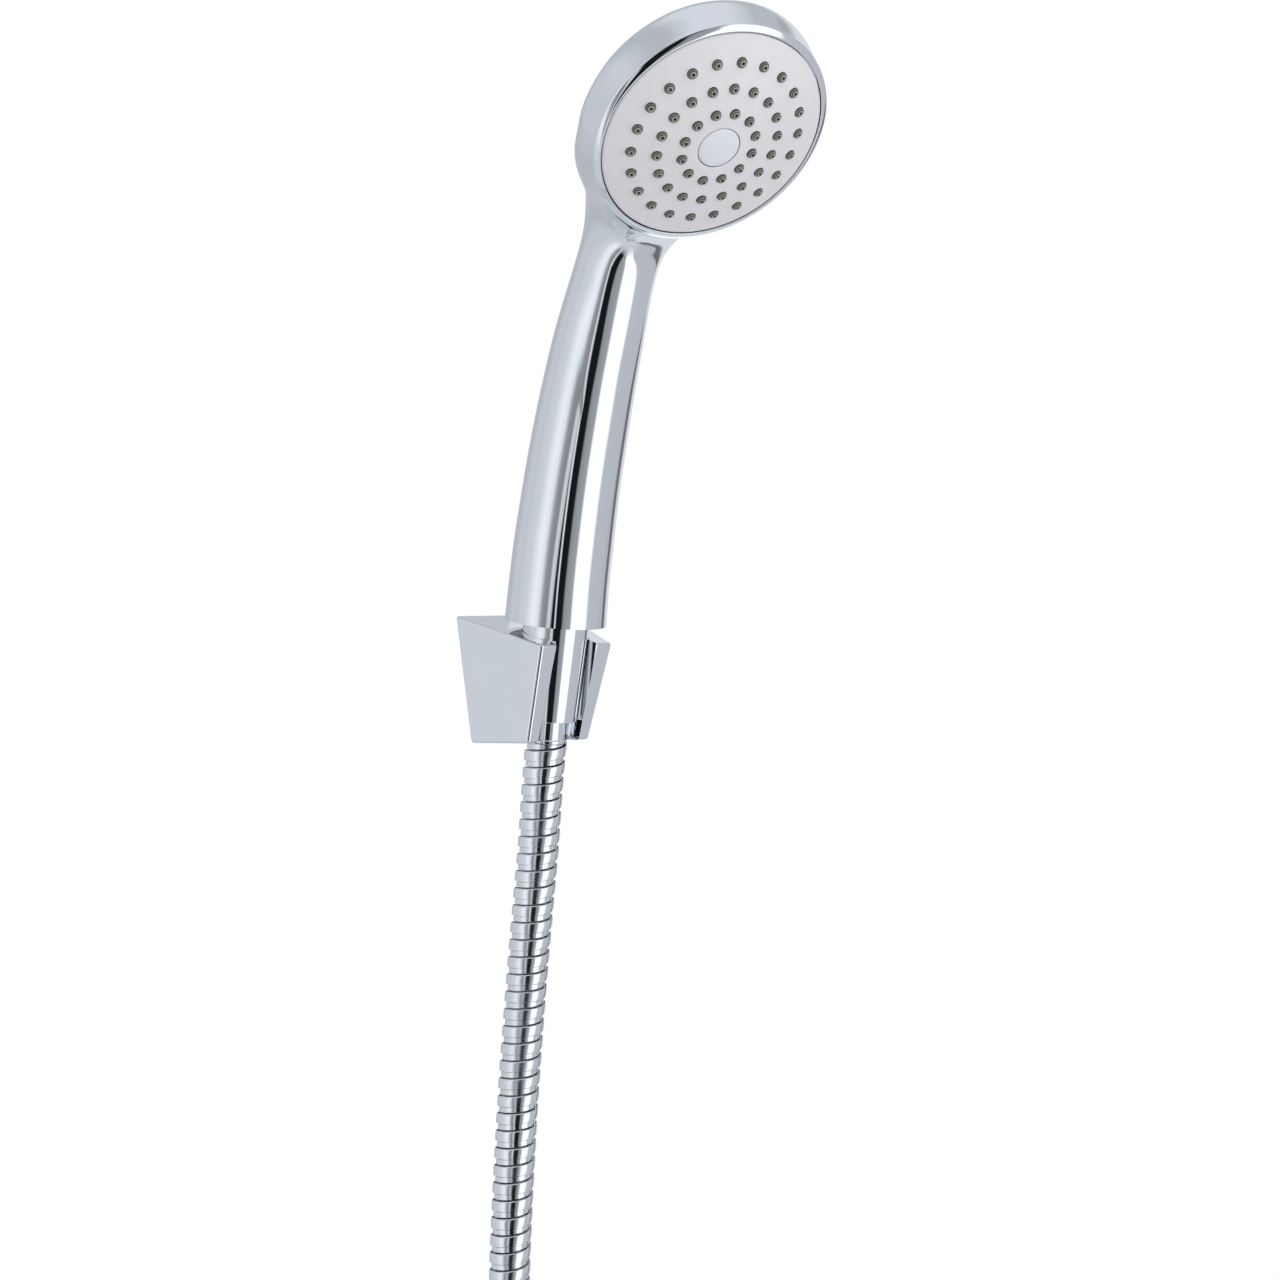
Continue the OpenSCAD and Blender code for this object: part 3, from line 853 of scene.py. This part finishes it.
class SHOWER_OT_stage(bpy.types.Operator):
    """Camera, studio surround, lights and floor"""

    bl_idname = "shower.stage"
    bl_label = "Stage"

    azimuth = -40.0
    height = 1.9

    def execute(self, context):
        scene = context.scene
        a, e = math.radians(self.azimuth), math.radians(self.height)
        back = Vector((math.sin(a) * math.cos(e), -math.cos(a) * math.cos(e), math.sin(e)))
        right = Vector((math.cos(a), math.sin(a), 0))
        up = back.cross(right)
        lens = bpy.data.cameras.new("Camera")
        lens.sensor_width = 36
        lens.lens = 52.875
        lens.clip_start = 0.01
        camera = new_object("Camera", lens)
        turn = Matrix((right, up, back)).transposed().to_4x4()
        place = right * 0.0468 + up * 0.0137 + back * 0.687
        camera.matrix_world = Matrix.Translation(place) @ turn
        scene.camera = camera
        scene.view_settings.view_transform = "Standard"
        self.surround(scene, back, right)
        self.floor()
        return {"FINISHED"}

    def surround(self, scene, back, right):
        """A tall studio tent: white panels, grey gaps and a black strip, as seen by the object."""
        world = bpy.data.worlds.new("Studio")
        scene.world = world
        world.use_nodes = True
        tree = Tree(world.node_tree)
        where = tree.node("ShaderNodeTexCoord")[0]
        x, y, z = tree.node("ShaderNodeSeparateXYZ", {}, {0: where})
        ahead = x * back.x + y * back.y
        side = x * right.x + y * right.y
        angle = tree.node("ShaderNodeMath", {"operation": "ARCTAN2"}, {0: side, 1: ahead})
        turn = angle[0] / (2 * math.pi) + 0.5
        # tones round the tent by angle in degrees: 0 is towards the camera, more is to its right
        tones = [
            (-180, 0.46), (-140, 0.41), (-118, 0.50), (-100, 0.49), (-84, 0.54), (-73, 0.55),
            (-52, 0.76), (-40, 0.68), (-30, 0.26), (-19, 0.20), (-14, 0.56), (-9, 0.50),
            (-6, 0.008), (17, 0.008), (21, 0.24), (36, 0.30), (40, 0.97), (72, 0.97), (77, 0.44),
            (126, 0.42), (131, 0.12), (139, 0.15), (148, 0.60), (180, 0.60),
        ]
        tint = (0.955, 1.0, 1.06)
        stops = [((deg + 180) / 360, tuple(tone * part for part in tint)) for deg, tone in tones]
        band = tree.node("ShaderNodeValToRGB", {"stops": stops}, {0: turn})[0]
        above = z.map(0.5, 0.72)
        higher = z.map(0.86, 0.96)
        below = (-z).map(0.93, 0.99)
        tone = tree.mix(above, band, (0.40, 0.425, 0.45))
        tone = tree.mix(higher, tone, (0.575, 0.60, 0.64))
        tone = tree.mix(below, tone, (0.50, 0.52, 0.545))
        seen = tree.node("ShaderNodeLightPath")[0]
        tone = tree.mix(seen, tone, (0.8, 0.8, 0.8))
        glow = tree.node("ShaderNodeBackground", {}, {"Color": tone, "Strength": 1.25})[0]
        tree.node("ShaderNodeOutputWorld", {}, {"Surface": glow})
        self.lamp("Key", (-0.75, -0.95, 0.25), 1.0, 4)
        self.lamp("Fill", (0.35, -0.85, -0.45), 0.8, 8)

    def lamp(self, name, centre, size, power):
        """A soft lamp that lights matt surfaces and leaves the plating's reflections alone."""
        light = bpy.data.lights.new(name, "AREA")
        light.size, light.energy = size, power
        lamp = new_object(name, light)
        lamp.visible_glossy = False
        centre = Vector(centre)
        aim = (centre - Vector((0, -0.12, 0.15))).to_track_quat("Z", "Y")
        lamp.matrix_world = Matrix.Translation(centre) @ aim.to_matrix().to_4x4()

    def floor(self):
        low = CAD_BOX[0][2] - 0.01
        mesh = bpy.data.meshes.new("Floor")
        reach = 6
        corners = [(-reach, -reach), (reach, -reach), (reach, reach), (-reach, reach)]
        mesh.from_pydata([(x, y, low) for x, y in corners], [], [(0, 1, 2, 3)])
        made, tree = new_finish("Pale floor")
        seen = tree.node("ShaderNodeLightPath")[0]
        matt = tree.node("ShaderNodeBsdfDiffuse", {}, {"Color": (0.8, 0.8, 0.8)})[0]
        glow = tree.node("ShaderNodeEmission", {}, {"Color": (1, 1, 1), "Strength": 1.0})[0]
        surface = tree.node("ShaderNodeMixShader", {}, {0: seen, 1: matt, 2: glow})[0]
        tree.node("ShaderNodeOutputMaterial", {}, {"Surface": surface})
        mesh.materials.append(made)
        floor = new_object("Floor", mesh)
        floor.visible_glossy = False


def hose_line():
    """The hose's whole line: down from the ferrule, round the folds, and out at the tail."""
    points = [Vector(p) for p in LEAD[:-1]]
    right = RUN_X + 2 * FOLD_R
    middle = RUN_X + FOLD_R
    depth = RUN_OUT

    def straight(x, y0, z0, y1, z1, steps):
        for k in range(steps):
            t = k / steps
            points.append(Vector((x, -(y0 + (y1 - y0) * t), z0 + (z1 - z0) * t)))

    def fold(z, start, y0, y1):
        """Half a turn; start is 180 for a fold that begins on the left."""
        for k in range(20):
            t = k / 20
            a = math.radians(start + 180 * t)
            out = y0 + (y1 - y0) * t * t * (3 - 2 * t)
            x = middle + FOLD_R * math.cos(a)
            points.append(Vector((x, -out, z + FOLD_R * math.sin(a))))

    for _ in range(2):
        straight(RUN_X, depth, FOLD_TOP, depth, FOLD_LOW, 8)
        fold(FOLD_LOW, 180, depth, depth)
        straight(right, depth, FOLD_LOW, depth, FOLD_TOP, 8)
        fold(FOLD_TOP, 0, depth, depth + LAYER)
        depth += LAYER
    straight(RUN_X, depth, FOLD_TOP, depth, TAIL_LOW, 12)
    points.append(Vector((RUN_X, -depth, TAIL_LOW)))
    return points


def line_length(points):
    return sum((b - a).length for a, b in zip(points, points[1:]))


class SHOWER_OT_hose(bpy.types.Operator):
    """Spiral metal hose, folded for storage below the bracket"""

    bl_idname = "shower.hose"
    bl_label = "Hose"

    def winding(self):
        """A strip wound along the line: a wide band, a narrow band below it and a seam."""
        sockets = [
            ("Line", "Geometry"), ("Radius", "Float"), ("Inset", "Float"), ("Pitch", "Float"),
            ("Steps", "Int"), ("Turns", "Int"), ("Length", "Float"), ("Finish", "Material"),
        ]
        made, tree, given = geometry_tree("Hose winding", sockets)
        across = 12
        rows = given["Steps"] * (given["Turns"] + 1) + 1
        grid = tree.node(
            "GeometryNodeMeshGrid",
            {},
            {"Size X": rows - 1, "Size Y": across - 1, "Vertices X": rows, "Vertices Y": across},
        )
        place = tree.node("GeometryNodeInputPosition")[0]
        x, y = tree.node("ShaderNodeSeparateXYZ", {}, {0: place})[:2]
        step = x + (rows - 1) / 2
        share = y / (across - 1) + 0.5
        angle = step * (2 * math.pi) / given["Steps"]
        # where each point of the strip lies in the pitch, and how deep
        shares = [0, 0.02, 0.08, 0.30, 0.52, 0.575, 0.59, 0.615, 0.635, 0.92, 0.95, 1.0]
        depths = [0.35, 0.10, 0.0, 0.0, 0.0, 0.08, 1.5, 1.5, 0.9, 0.95, 1.95, 1.95]
        even = [k / (across - 1) for k in range(across)]
        along = tree.node("ShaderNodeFloatCurve", {"points": list(zip(even, shares))}, {"Value": share})[0]
        depth = tree.node(
            "ShaderNodeFloatCurve",
            {"points": [(e, d / 2) for e, d in zip(even, depths)]},
            {"Value": share},
        )[0]
        reach = (along + step / given["Steps"] - 1) * given["Pitch"]
        reach = reach.most(0).least(given["Length"])
        spot = tree.node(
            "GeometryNodeSampleCurve",
            {"mode": "LENGTH", "data_type": "FLOAT"},
            {"Curves": given["Line"], "Length": reach},
        )
        point, tangent, normal = spot[-3], spot[-2], spot[-1]
        radius = given["Radius"] - depth * 2 * given["Inset"]

        def vector(operation, *values):
            return tree.node("ShaderNodeVectorMath", {"operation": operation}, dict(enumerate(values)))[0]

        other = vector("CROSS_PRODUCT", tangent, normal)

        def scaled(v, s):
            return tree.node("ShaderNodeVectorMath", {"operation": "SCALE"}, {0: v, 3: s})[0]

        offset = vector("ADD", scaled(normal, angle.cos() * radius), scaled(other, angle.sin() * radius))
        moved = tree.node(
            "GeometryNodeSetPosition",
            {},
            {"Geometry": grid[0], "Position": vector("ADD", point, offset)},
        )[0]
        joined = tree.node("GeometryNodeMergeByDistance", {}, {"Geometry": moved, "Distance": 2e-6})[0]
        close_tree(tree, joined, given["Finish"])
        return made

    def execute(self, context):
        sizes = context.scene.shower_hose
        line = hose_line()
        full = line_length(line)
        curve = bpy.data.curves.new("hose line", "CURVE")
        curve.dimensions = "3D"
        run = curve.splines.new("POLY")
        run.points.add(len(line) - 1)
        for spot, p in zip(run.points, line):
            spot.co = (*p, 1)
        source = new_object("hose line", curve)
        values = {
            "Radius": sizes.hose_r, "Inset": sizes.inset, "Pitch": sizes.pitch, "Steps": sizes.steps,
            "Turns": math.ceil(full / sizes.pitch), "Length": full, "Finish": FINISH["hose"],
        }
        mesh = node_result(source, self.winding(), values, "Winding")
        work = bmesh.new()
        work.from_mesh(mesh)
        bmesh.ops.dissolve_degenerate(work, edges=work.edges, dist=1e-6)
        bmesh.ops.recalc_face_normals(work, faces=work.faces)
        work.to_mesh(mesh)
        work.free()
        piece = add_piece(
            "spiral_hose", mesh, "hose", "hose_line", "chrome_hose", "hose_lead", "hose_hank", "hose_tail",
            angle=50,
        )
        return {"FINISHED"}


class SHOWER_OT_hose_ends(bpy.types.Operator):
    """Ferrules, tap nut and the ties of the folded hose"""

    bl_idname = "shower.hose_ends"
    bl_label = "Hose ends"

    ferrule = [
        (5.25, 20, 0), (6.7, 20, 0.3), (6.7, 1.5, 0.2), (7.2, 1.1, 0.25), (7.2, 0, 0.3),
        (5.25, 0, 0),
    ]

    def tap_nut(self):
        outline = rounded(
            [
                (7.3, 14, 0.4), (11.0, 14, 0.9), (12.0, 15.2, 0.6), (12.0, 17, 0), (12.0, 26, 0),
                (12.0, 31, 0), (12.0, 34.8, 0.6), (11.2, 36, 0.6), (9.9, 36, 0.3), (9.4, 35.2, 0.1),
                (9.35, 26.4, 0), (9.75, 26.2, 0), (9.75, 21.8, 0), (7.3, 21.8, 0),
            ]
        )

        def fluted(r, h, a):
            grip = max(0.0, 1 - abs(h - 22.5) / 8.5) ** 0.25 if r > 11.5 else 0
            return r - 0.55 * grip * max(0.0, math.cos(30 * a)) ** 1.5

        return revolve(outline, self.at_tail(), 360, fluted)

    @staticmethod
    def at_tail():
        where = Vector((RUN_X, -(RUN_OUT + 2 * LAYER), TAIL_LOW))
        return Matrix.Translation(where) @ Matrix.Rotation(math.pi, 4, "X")

    def tie(self, name, node, x, layers):
        """A flat band with rounded corners round the runs."""
        r = 7.5 * MM
        low = -(RUN_OUT + (layers - 1) * LAYER)
        middle = (FOLD_TOP + FOLD_LOW) / 2
        around = 64
        outlines = []
        for grow, dz in [(0.0, -6.4), (0.9, -6.8), (1.3, -6.2), (1.3, 6.2), (0.9, 6.8), (0.0, 6.4)]:
            ring = []
            for k in range(around):
                a = 2 * math.pi * k / around
                y = -RUN_OUT if math.sin(a) > 0 else low
                reach = r + 0.1 * MM + grow * MM
                ring.append((x + reach * math.cos(a), y + reach * math.sin(a), middle + dz * MM))
            outlines.append(ring)
        points = [p for ring in outlines for p in ring]
        band = mesh_from(points, grid_faces(len(outlines), around, closed=True))
        return add_piece(name, band, "tie", "hose_line", "tie_black", node)

    def execute(self, context):
        top = IN_SEAT @ Matrix.Translation((0, 0, -22 * MM))
        long_top = [(r, h + (6.6 if h == 20 else 0), c) for r, h, c in self.ferrule]
        mesh = revolve(rounded(long_top), top, 96)
        add_piece("ferrule_top_piece", mesh, "chrome", "hose_line", "chrome", "ferrule_top")
        mesh = revolve(rounded(self.ferrule), self.at_tail(), 96)
        add_piece("ferrule_end_piece", mesh, "chrome", "hose_line", "chrome", "ferrule_end")
        add_piece("tap_nut_piece", self.tap_nut(), "chrome", "tap_end", "chrome", "tap_nut")
        self.tie("tie_left_piece", "tie_left", RUN_X, 3)
        self.tie("tie_right_piece", "tie_right", RUN_X + 2 * FOLD_R, 2)
        return {"FINISHED"}


class SHOWER_OT_bracket(bpy.types.Operator):
    """Wall bracket with its tapered seat and slot"""

    bl_idname = "shower.bracket"
    bl_label = "Wall bracket"

    def block(self):
        """The tapered block, before its seat and slot are cut."""
        back = [(25, 0, 23), (18.5, 0, -23)]
        front = [(15.7, 38.8, 13.2), (13.6, 27.8, -21.6)]
        points = []
        for w, out, z in back + front:
            points += [(-w, -out, z), (w, -out, z)]
        points = [Vector(p) * MM for p in points]
        faces = [(0, 1, 5, 4), (2, 6, 7, 3), (4, 5, 7, 6), (0, 4, 6, 2), (1, 3, 7, 5), (0, 2, 3, 1)]
        return mesh_from(points, faces)

    def box(self, low, high, place=None):
        points = [
            Vector((x, y, z)) * MM
            for x in (low[0], high[0])
            for y in (low[1], high[1])
            for z in (low[2], high[2])
        ]
        faces = [(0, 1, 3, 2), (4, 6, 7, 5), (0, 4, 5, 1), (2, 3, 7, 6), (0, 2, 6, 4), (1, 5, 7, 3)]
        return mesh_from(points, faces, place)

    def execute(self, context):
        body = new_object("bracket body", self.block())
        edge = body.modifiers.new("Edges", "BEVEL")
        edge.width, edge.segments, edge.limit_method = 1.1 * MM, 4, "ANGLE"
        edge.angle_limit = math.radians(30)
        r, grow, reach = 11.1, 0.052, 40
        heights = np.linspace(-reach, reach, 41)
        cone = [(r + grow * h, h) for h in heights]
        seat = revolve([(0, -reach), *cone, (0, reach)], IN_SEAT, 160)
        slot = self.box((-9.1, -45, -40), (9.1, 0, 40), IN_SEAT)
        pocket = self.box((-16, -7.5, -18), (16, 1, 18))
        hole = revolve(
            [(0, 0), (2.05, 0), (2.05, 14), (0, 14)],
            Matrix.Translation(Vector((0, -5, -30)) * MM),
            32,
        )
        tools = [
            new_object(n, m)
            for n, m in [("seat", seat), ("slot", slot), ("pocket", pocket), ("hole", hole)]
        ]
        for tool in tools:
            cut = body.modifiers.new(tool.name, "BOOLEAN")
            cut.operation, cut.object, cut.solver = "DIFFERENCE", tool, "EXACT"
        rim = body.modifiers.new("Rims", "BEVEL")
        rim.width, rim.segments, rim.limit_method = 0.45 * MM, 3, "ANGLE"
        rim.angle_limit = math.radians(38)
        rim.use_clamp_overlap = True
        graph = context.evaluated_depsgraph_get()
        graph.update()
        mesh = bpy.data.meshes.new_from_object(body.evaluated_get(graph))
        for tool in tools:
            bpy.data.objects.remove(tool)
        bpy.data.objects.remove(body)
        piece = add_piece("bracket_body", mesh, "bracket", "bracket", "chrome", "holder_body", angle=30)
        even = piece.modifiers.new("Even shading", "WEIGHTED_NORMAL")
        even.keep_sharp = True
        return {"FINISHED"}


class SHOWER_OT_handset(bpy.types.Operator):
    """Handset shell: head and handle in one moulding"""

    bl_idname = "shower.handset"
    bl_label = "Handset shell"

    def execute(self, context):
        mesh = shell_mesh(context.scene.shower_handle)
        add_piece("handset_shell_piece", mesh, "chrome", "handset", "chrome", "handset_shell", angle=40)
        return {"FINISHED"}


def face_height(sizes, r):
    """Height of the face's dome, in mm, at a radius in mm."""
    dome = sizes.face_dome / MM
    return sizes.face_top / MM - dome + math.sqrt(dome * dome - r * r)


def nozzle_rings(sizes):
    """Each ring's radius in mm, its count and its turn."""
    return [
        (sizes.ring_1 / MM, sizes.count_1, 0.0),
        (sizes.ring_2 / MM, sizes.count_2, 0.5),
        (sizes.ring_3 / MM, sizes.count_3, 0.5),
    ]


class SHOWER_OT_spray_face(bpy.types.Operator):
    """Face plate, its bright rim and the cap in its middle"""

    bl_idname = "shower.spray_face"
    bl_label = "Spray face"

    def plate(self, sizes):
        """The face, swelling a little at each nozzle of the outer rings."""
        spots = []
        for r, count, turn in nozzle_rings(sizes):
            for k in range(count):
                a = 2 * math.pi * (k + turn) / count
                spots.append((r * math.sin(a), r * math.cos(a), r))
        spots = np.array(spots)
        radii = list(np.linspace(7.0, 35.55, 66))
        rim = [(35.8, -0.04), (35.98, -0.16), (36.06, -0.4), (36.06, -4)]
        around = 400
        rows = []
        a = np.arange(around) * 2 * math.pi / around
        low = face_height(sizes, radii[0])
        rows.append((7 * np.cos(a), 7 * np.sin(a), low - 1.6 + 0 * a))
        for r in radii:
            x, y = r * np.cos(a), r * np.sin(a)
            h = np.full(around, face_height(sizes, r))
            for sx, sy, ring in spots:
                far2 = (x - sx) ** 2 + (y - sy) ** 2
                h += sizes.swell / MM * (0.4 + 0.6 * ring / 27.8) * np.exp(-far2 / 5.2)
            if r == radii[0]:
                h -= 0.12
            rows.append((x, y, h))
        for r, drop in rim:
            h = face_height(sizes, 36) + drop if drop > -4 else -4.2
            rows.append((r * np.cos(a), r * np.sin(a), h + 0 * a))
        for r in (35.2, 20, 7):
            h = face_height(sizes, min(r, 34)) - 1.8 if r < 35 else -4.2
            rows.append((r * np.cos(a), r * np.sin(a), h + 0 * a))
        points = np.concatenate([np.stack(row, -1) for row in rows]) * MM
        return mesh_from(points, grid_faces(len(rows), around, closed=True), IN_HEAD)

    def execute(self, context):
        sizes = context.scene.shower_head
        add_piece(
            "face_plate_piece", self.plate(sizes), "face", "handset", "face_grey", "face_plate", angle=50,
        )
        rim = rounded(
            [
                (36.3, -2.5, 0.1), (36.42, -1.95, 0.2), (36.8, -1.93, 0.3), (37.5, -2.24, 0.7),
                (38.5, -2.92, 0.3), (38.62, -4.1, 0.2), (38.4, -4.3, 0.1), (38.3, -4.1, 0),
                (38.2, -3.45, 0), (36.3, -3.45, 0),
            ],
            6,
        )
        add_piece("bright_rim", revolve(rim, IN_HEAD, 256), "chrome", "handset", "chrome", "head_bezel")
        top = sizes.face_top / MM
        outline = [(0, top + 0.25), (1.5, top + 0.24), (3, top + 0.19), (4.5, top + 0.08)]
        outline += [(5.6, top - 0.05), (6.25, top - 0.17), (6.65, top - 0.3)]
        outline += [(6.82, top - 0.55), (6.82, 1.4), (5.2, 1.4), (5.2, 2.5), (0, 2.5)]
        add_piece(
            "cap_piece", revolve(outline, IN_HEAD, 128), "cap", "handset", "cap_grey", "center_cap",
            angle=60,
        )
        return {"FINISHED"}


class SHOWER_OT_nozzles(bpy.types.Operator):
    """Three rings of soft nozzles"""

    bl_idname = "shower.nozzles"
    bl_label = "Nozzles"

    def one(self, sizes):
        """A single nozzle: a soft cone with a rounded lip and a hole."""
        foot, tip = sizes.nozzle_r / MM, sizes.nozzle_tip / MM
        h = sizes.nozzle_h / MM
        outline = [
            (foot + 0.2, -0.5), (foot + 0.05, 0.0), (foot - 0.05, 0.2), (tip + 0.46, h - 0.48),
            (tip + 0.38, h - 0.38), (tip + 0.14, h - 0.34), (tip + 0.04, h - 0.28),
            (tip - 0.02, h - 0.1), (tip - 0.1, h - 0.02), (tip - 0.18, h), (0.62, h),
            (0.57, h - 0.06), (0.36, h - 0.2), (0.34, -1.5), (foot, -1.5),
        ]
        mesh = revolve(outline, None, 28)
        smooth(mesh, 50)
        return new_object("one nozzle", mesh)

    def rings(self):
        """Instances of the nozzle on three circles that follow the face's dome."""
        sockets = [
            ("Seed mesh", "Geometry"), ("Nozzle", "Object"), ("Dome", "Float"),
            ("Face height", "Float"), ("Finish", "Material"),
        ]
        for k in (1, 2, 3):
            sockets += [(f"Radius {k}", "Float"), (f"Count {k}", "Int"), (f"Turn {k}", "Float")]
        made, tree, given = geometry_tree("Nozzle rings", sockets)
        shape = tree.node(
            "GeometryNodeObjectInfo",
            {"transform_space": "ORIGINAL"},
            {"Object": given["Nozzle"]},
        )[-1]
        joined = tree.tree.nodes.new("GeometryNodeJoinGeometry")
        for k in (1, 2, 3):
            r, count = given[f"Radius {k}"], given[f"Count {k}"]
            circle = tree.node("GeometryNodeMeshCircle", {}, {"Vertices": count, "Radius": r})[0]
            # the circle starts on +X; the rings are counted from +Y
            turn = math.pi / 2 - given[f"Turn {k}"] * (2 * math.pi) / count
            rise = (given["Dome"] ** 2 - r**2).root() - given["Dome"]
            height = rise + given["Face height"]
            spin = tree.node("ShaderNodeCombineXYZ", {}, {2: turn})[0]
            lift = tree.node("ShaderNodeCombineXYZ", {}, {2: height})[0]
            placed = tree.node(
                "GeometryNodeTransform",
                {},
                {"Geometry": circle, "Translation": lift, "Rotation": spin},
            )[0]
            where = tree.node("GeometryNodeInputPosition")[0]
            x, y, z = tree.node("ShaderNodeSeparateXYZ", {}, {0: where})
            up = z - given["Face height"] + given["Dome"]
            out = tree.node("ShaderNodeCombineXYZ", {}, {0: x, 1: y, 2: up})[0]
            aim = tree.node("FunctionNodeAlignRotationToVector", {"axis": "Z"}, {"Vector": out})[0]
            copies = tree.node(
                "GeometryNodeInstanceOnPoints",
                {},
                {"Points": placed, "Instance": shape, "Rotation": aim},
            )[0]
            tree.tree.links.new(copies.socket, joined.inputs[0])
        close_tree(tree, Value(tree, joined.outputs[0]), given["Finish"])
        return made

    def execute(self, context):
        sizes = context.scene.shower_head
        one = self.one(sizes)
        source = new_object("rings", bpy.data.meshes.new("rings"))
        values = {
            "Nozzle": one, "Dome": sizes.face_dome, "Face height": sizes.face_top,
            "Finish": FINISH["nozzle"],
        }
        for k, (r, count, turn) in enumerate(nozzle_rings(sizes), 1):
            values[f"Radius {k}"] = r * MM
            values[f"Count {k}"] = count
            values[f"Turn {k}"] = turn
        mesh = node_result(source, self.rings(), values, "Rings")
        bpy.data.objects.remove(one)
        mesh.transform(IN_HEAD)
        add_piece("nozzle_piece", mesh, "nozzle", "handset", "nozzle_rubber", "nozzle_mat", angle=50)
        return {"FINISHED"}


class SHOWER_OT_cone_nut(bpy.types.Operator):
    """Cone nut that the handset rests on"""

    bl_idname = "shower.cone_nut"
    bl_label = "Cone nut"

    def execute(self, context):
        r, grow = 10.85, 0.052

        def at(h, inset=0.0):
            return r + grow * h - inset

        outline = rounded(
            [
                (7.3, -13.8, 0.3), (at(-13.8), -13.8, 0.5), (at(20.8), 20.8, 0.5), (9.4, 20.8, 0.4),
                (9.35, 7.2, 0), (9.7, 7.0, 0), (9.7, 4.8, 0), (7.3, 4.8, 0),
            ]
        )
        add_piece(
            "cone_nut_piece", revolve(outline, IN_SEAT, 160), "chrome", "handset", "chrome", "cone_nut",
        )
        return {"FINISHED"}


class SHOWER_OT_inner_parts(bpy.types.Operator):
    """Finishes of the pieces inside, which keep their CAD shapes"""

    bl_idname = "shower.inner_parts"
    bl_label = "Inner parts"

    looks = {
        "wall_plate": "steel",
        "locking_screw": "steel",
        "handle_end_cap": "white",
        "center_screw": "steel",
        "spray_disc": "white",
        "chamber_seal": "rubber",
        "chamber_plate": "white",
        "water_tube": "white",
        "tube_seals": "rubber",
        "inlet_connector": "brass",
        "inlet_filter": "steel",
        "flow_regulator": "blue",
        "washer_top": "rubber",
        "nipple_top": "brass",
        "nipple_end": "brass",
        "washer_end": "rubber",
    }

    def execute(self, context):
        for node, finish in self.looks.items():
            piece = bpy.data.objects[node]
            if not piece.material_slots:
                piece.data.materials.append(None)
            for spot in piece.material_slots:
                spot.material = FINISH[finish]
        return {"FINISHED"}


class SHOWER_PT_panel(bpy.types.Panel):
    """The shower's settings and its pieces"""

    bl_idname = "SHOWER_PT_panel"
    bl_label = "Shower handset"
    bl_space_type = "VIEW_3D"
    bl_region_type = "UI"
    bl_category = "Shower"

    def draw(self, context):
        for step in STEPS:
            self.layout.operator(step.bl_idname)
        for group in GROUPS:
            settings = getattr(context.scene, group)
            box = self.layout.box()
            for key in settings.__annotations__:
                box.prop(settings, key)


GROUPS = {
    "shower_head": ShowerHeadSizes,
    "shower_handle": ShowerHandleSizes,
    "shower_hose": ShowerHoseSizes,
    "shower_finishes": ShowerFinishes,
}
STEPS = [
    SHOWER_OT_stage,
    SHOWER_OT_hose_ends,
    SHOWER_OT_hose,
    SHOWER_OT_bracket,
    SHOWER_OT_handset,
    SHOWER_OT_spray_face,
    SHOWER_OT_nozzles,
    SHOWER_OT_cone_nut,
    SHOWER_OT_inner_parts,
]


def register():
    for made in [*GROUPS.values(), *STEPS, SHOWER_PT_panel]:
        bpy.utils.register_class(made)
    for name, group in GROUPS.items():
        setattr(bpy.types.Scene, name, PointerProperty(type=group))


def unregister():
    for name in GROUPS:
        delattr(bpy.types.Scene, name)
    for made in reversed([*GROUPS.values(), *STEPS, SHOWER_PT_panel]):
        bpy.utils.unregister_class(made)


def main():
    register()
    make_finishes(bpy.context.scene)
    for step in STEPS:
        area, name = step.bl_idname.split(".")
        getattr(getattr(bpy.ops, area), name)()


if __name__ == "__main__":
    main()
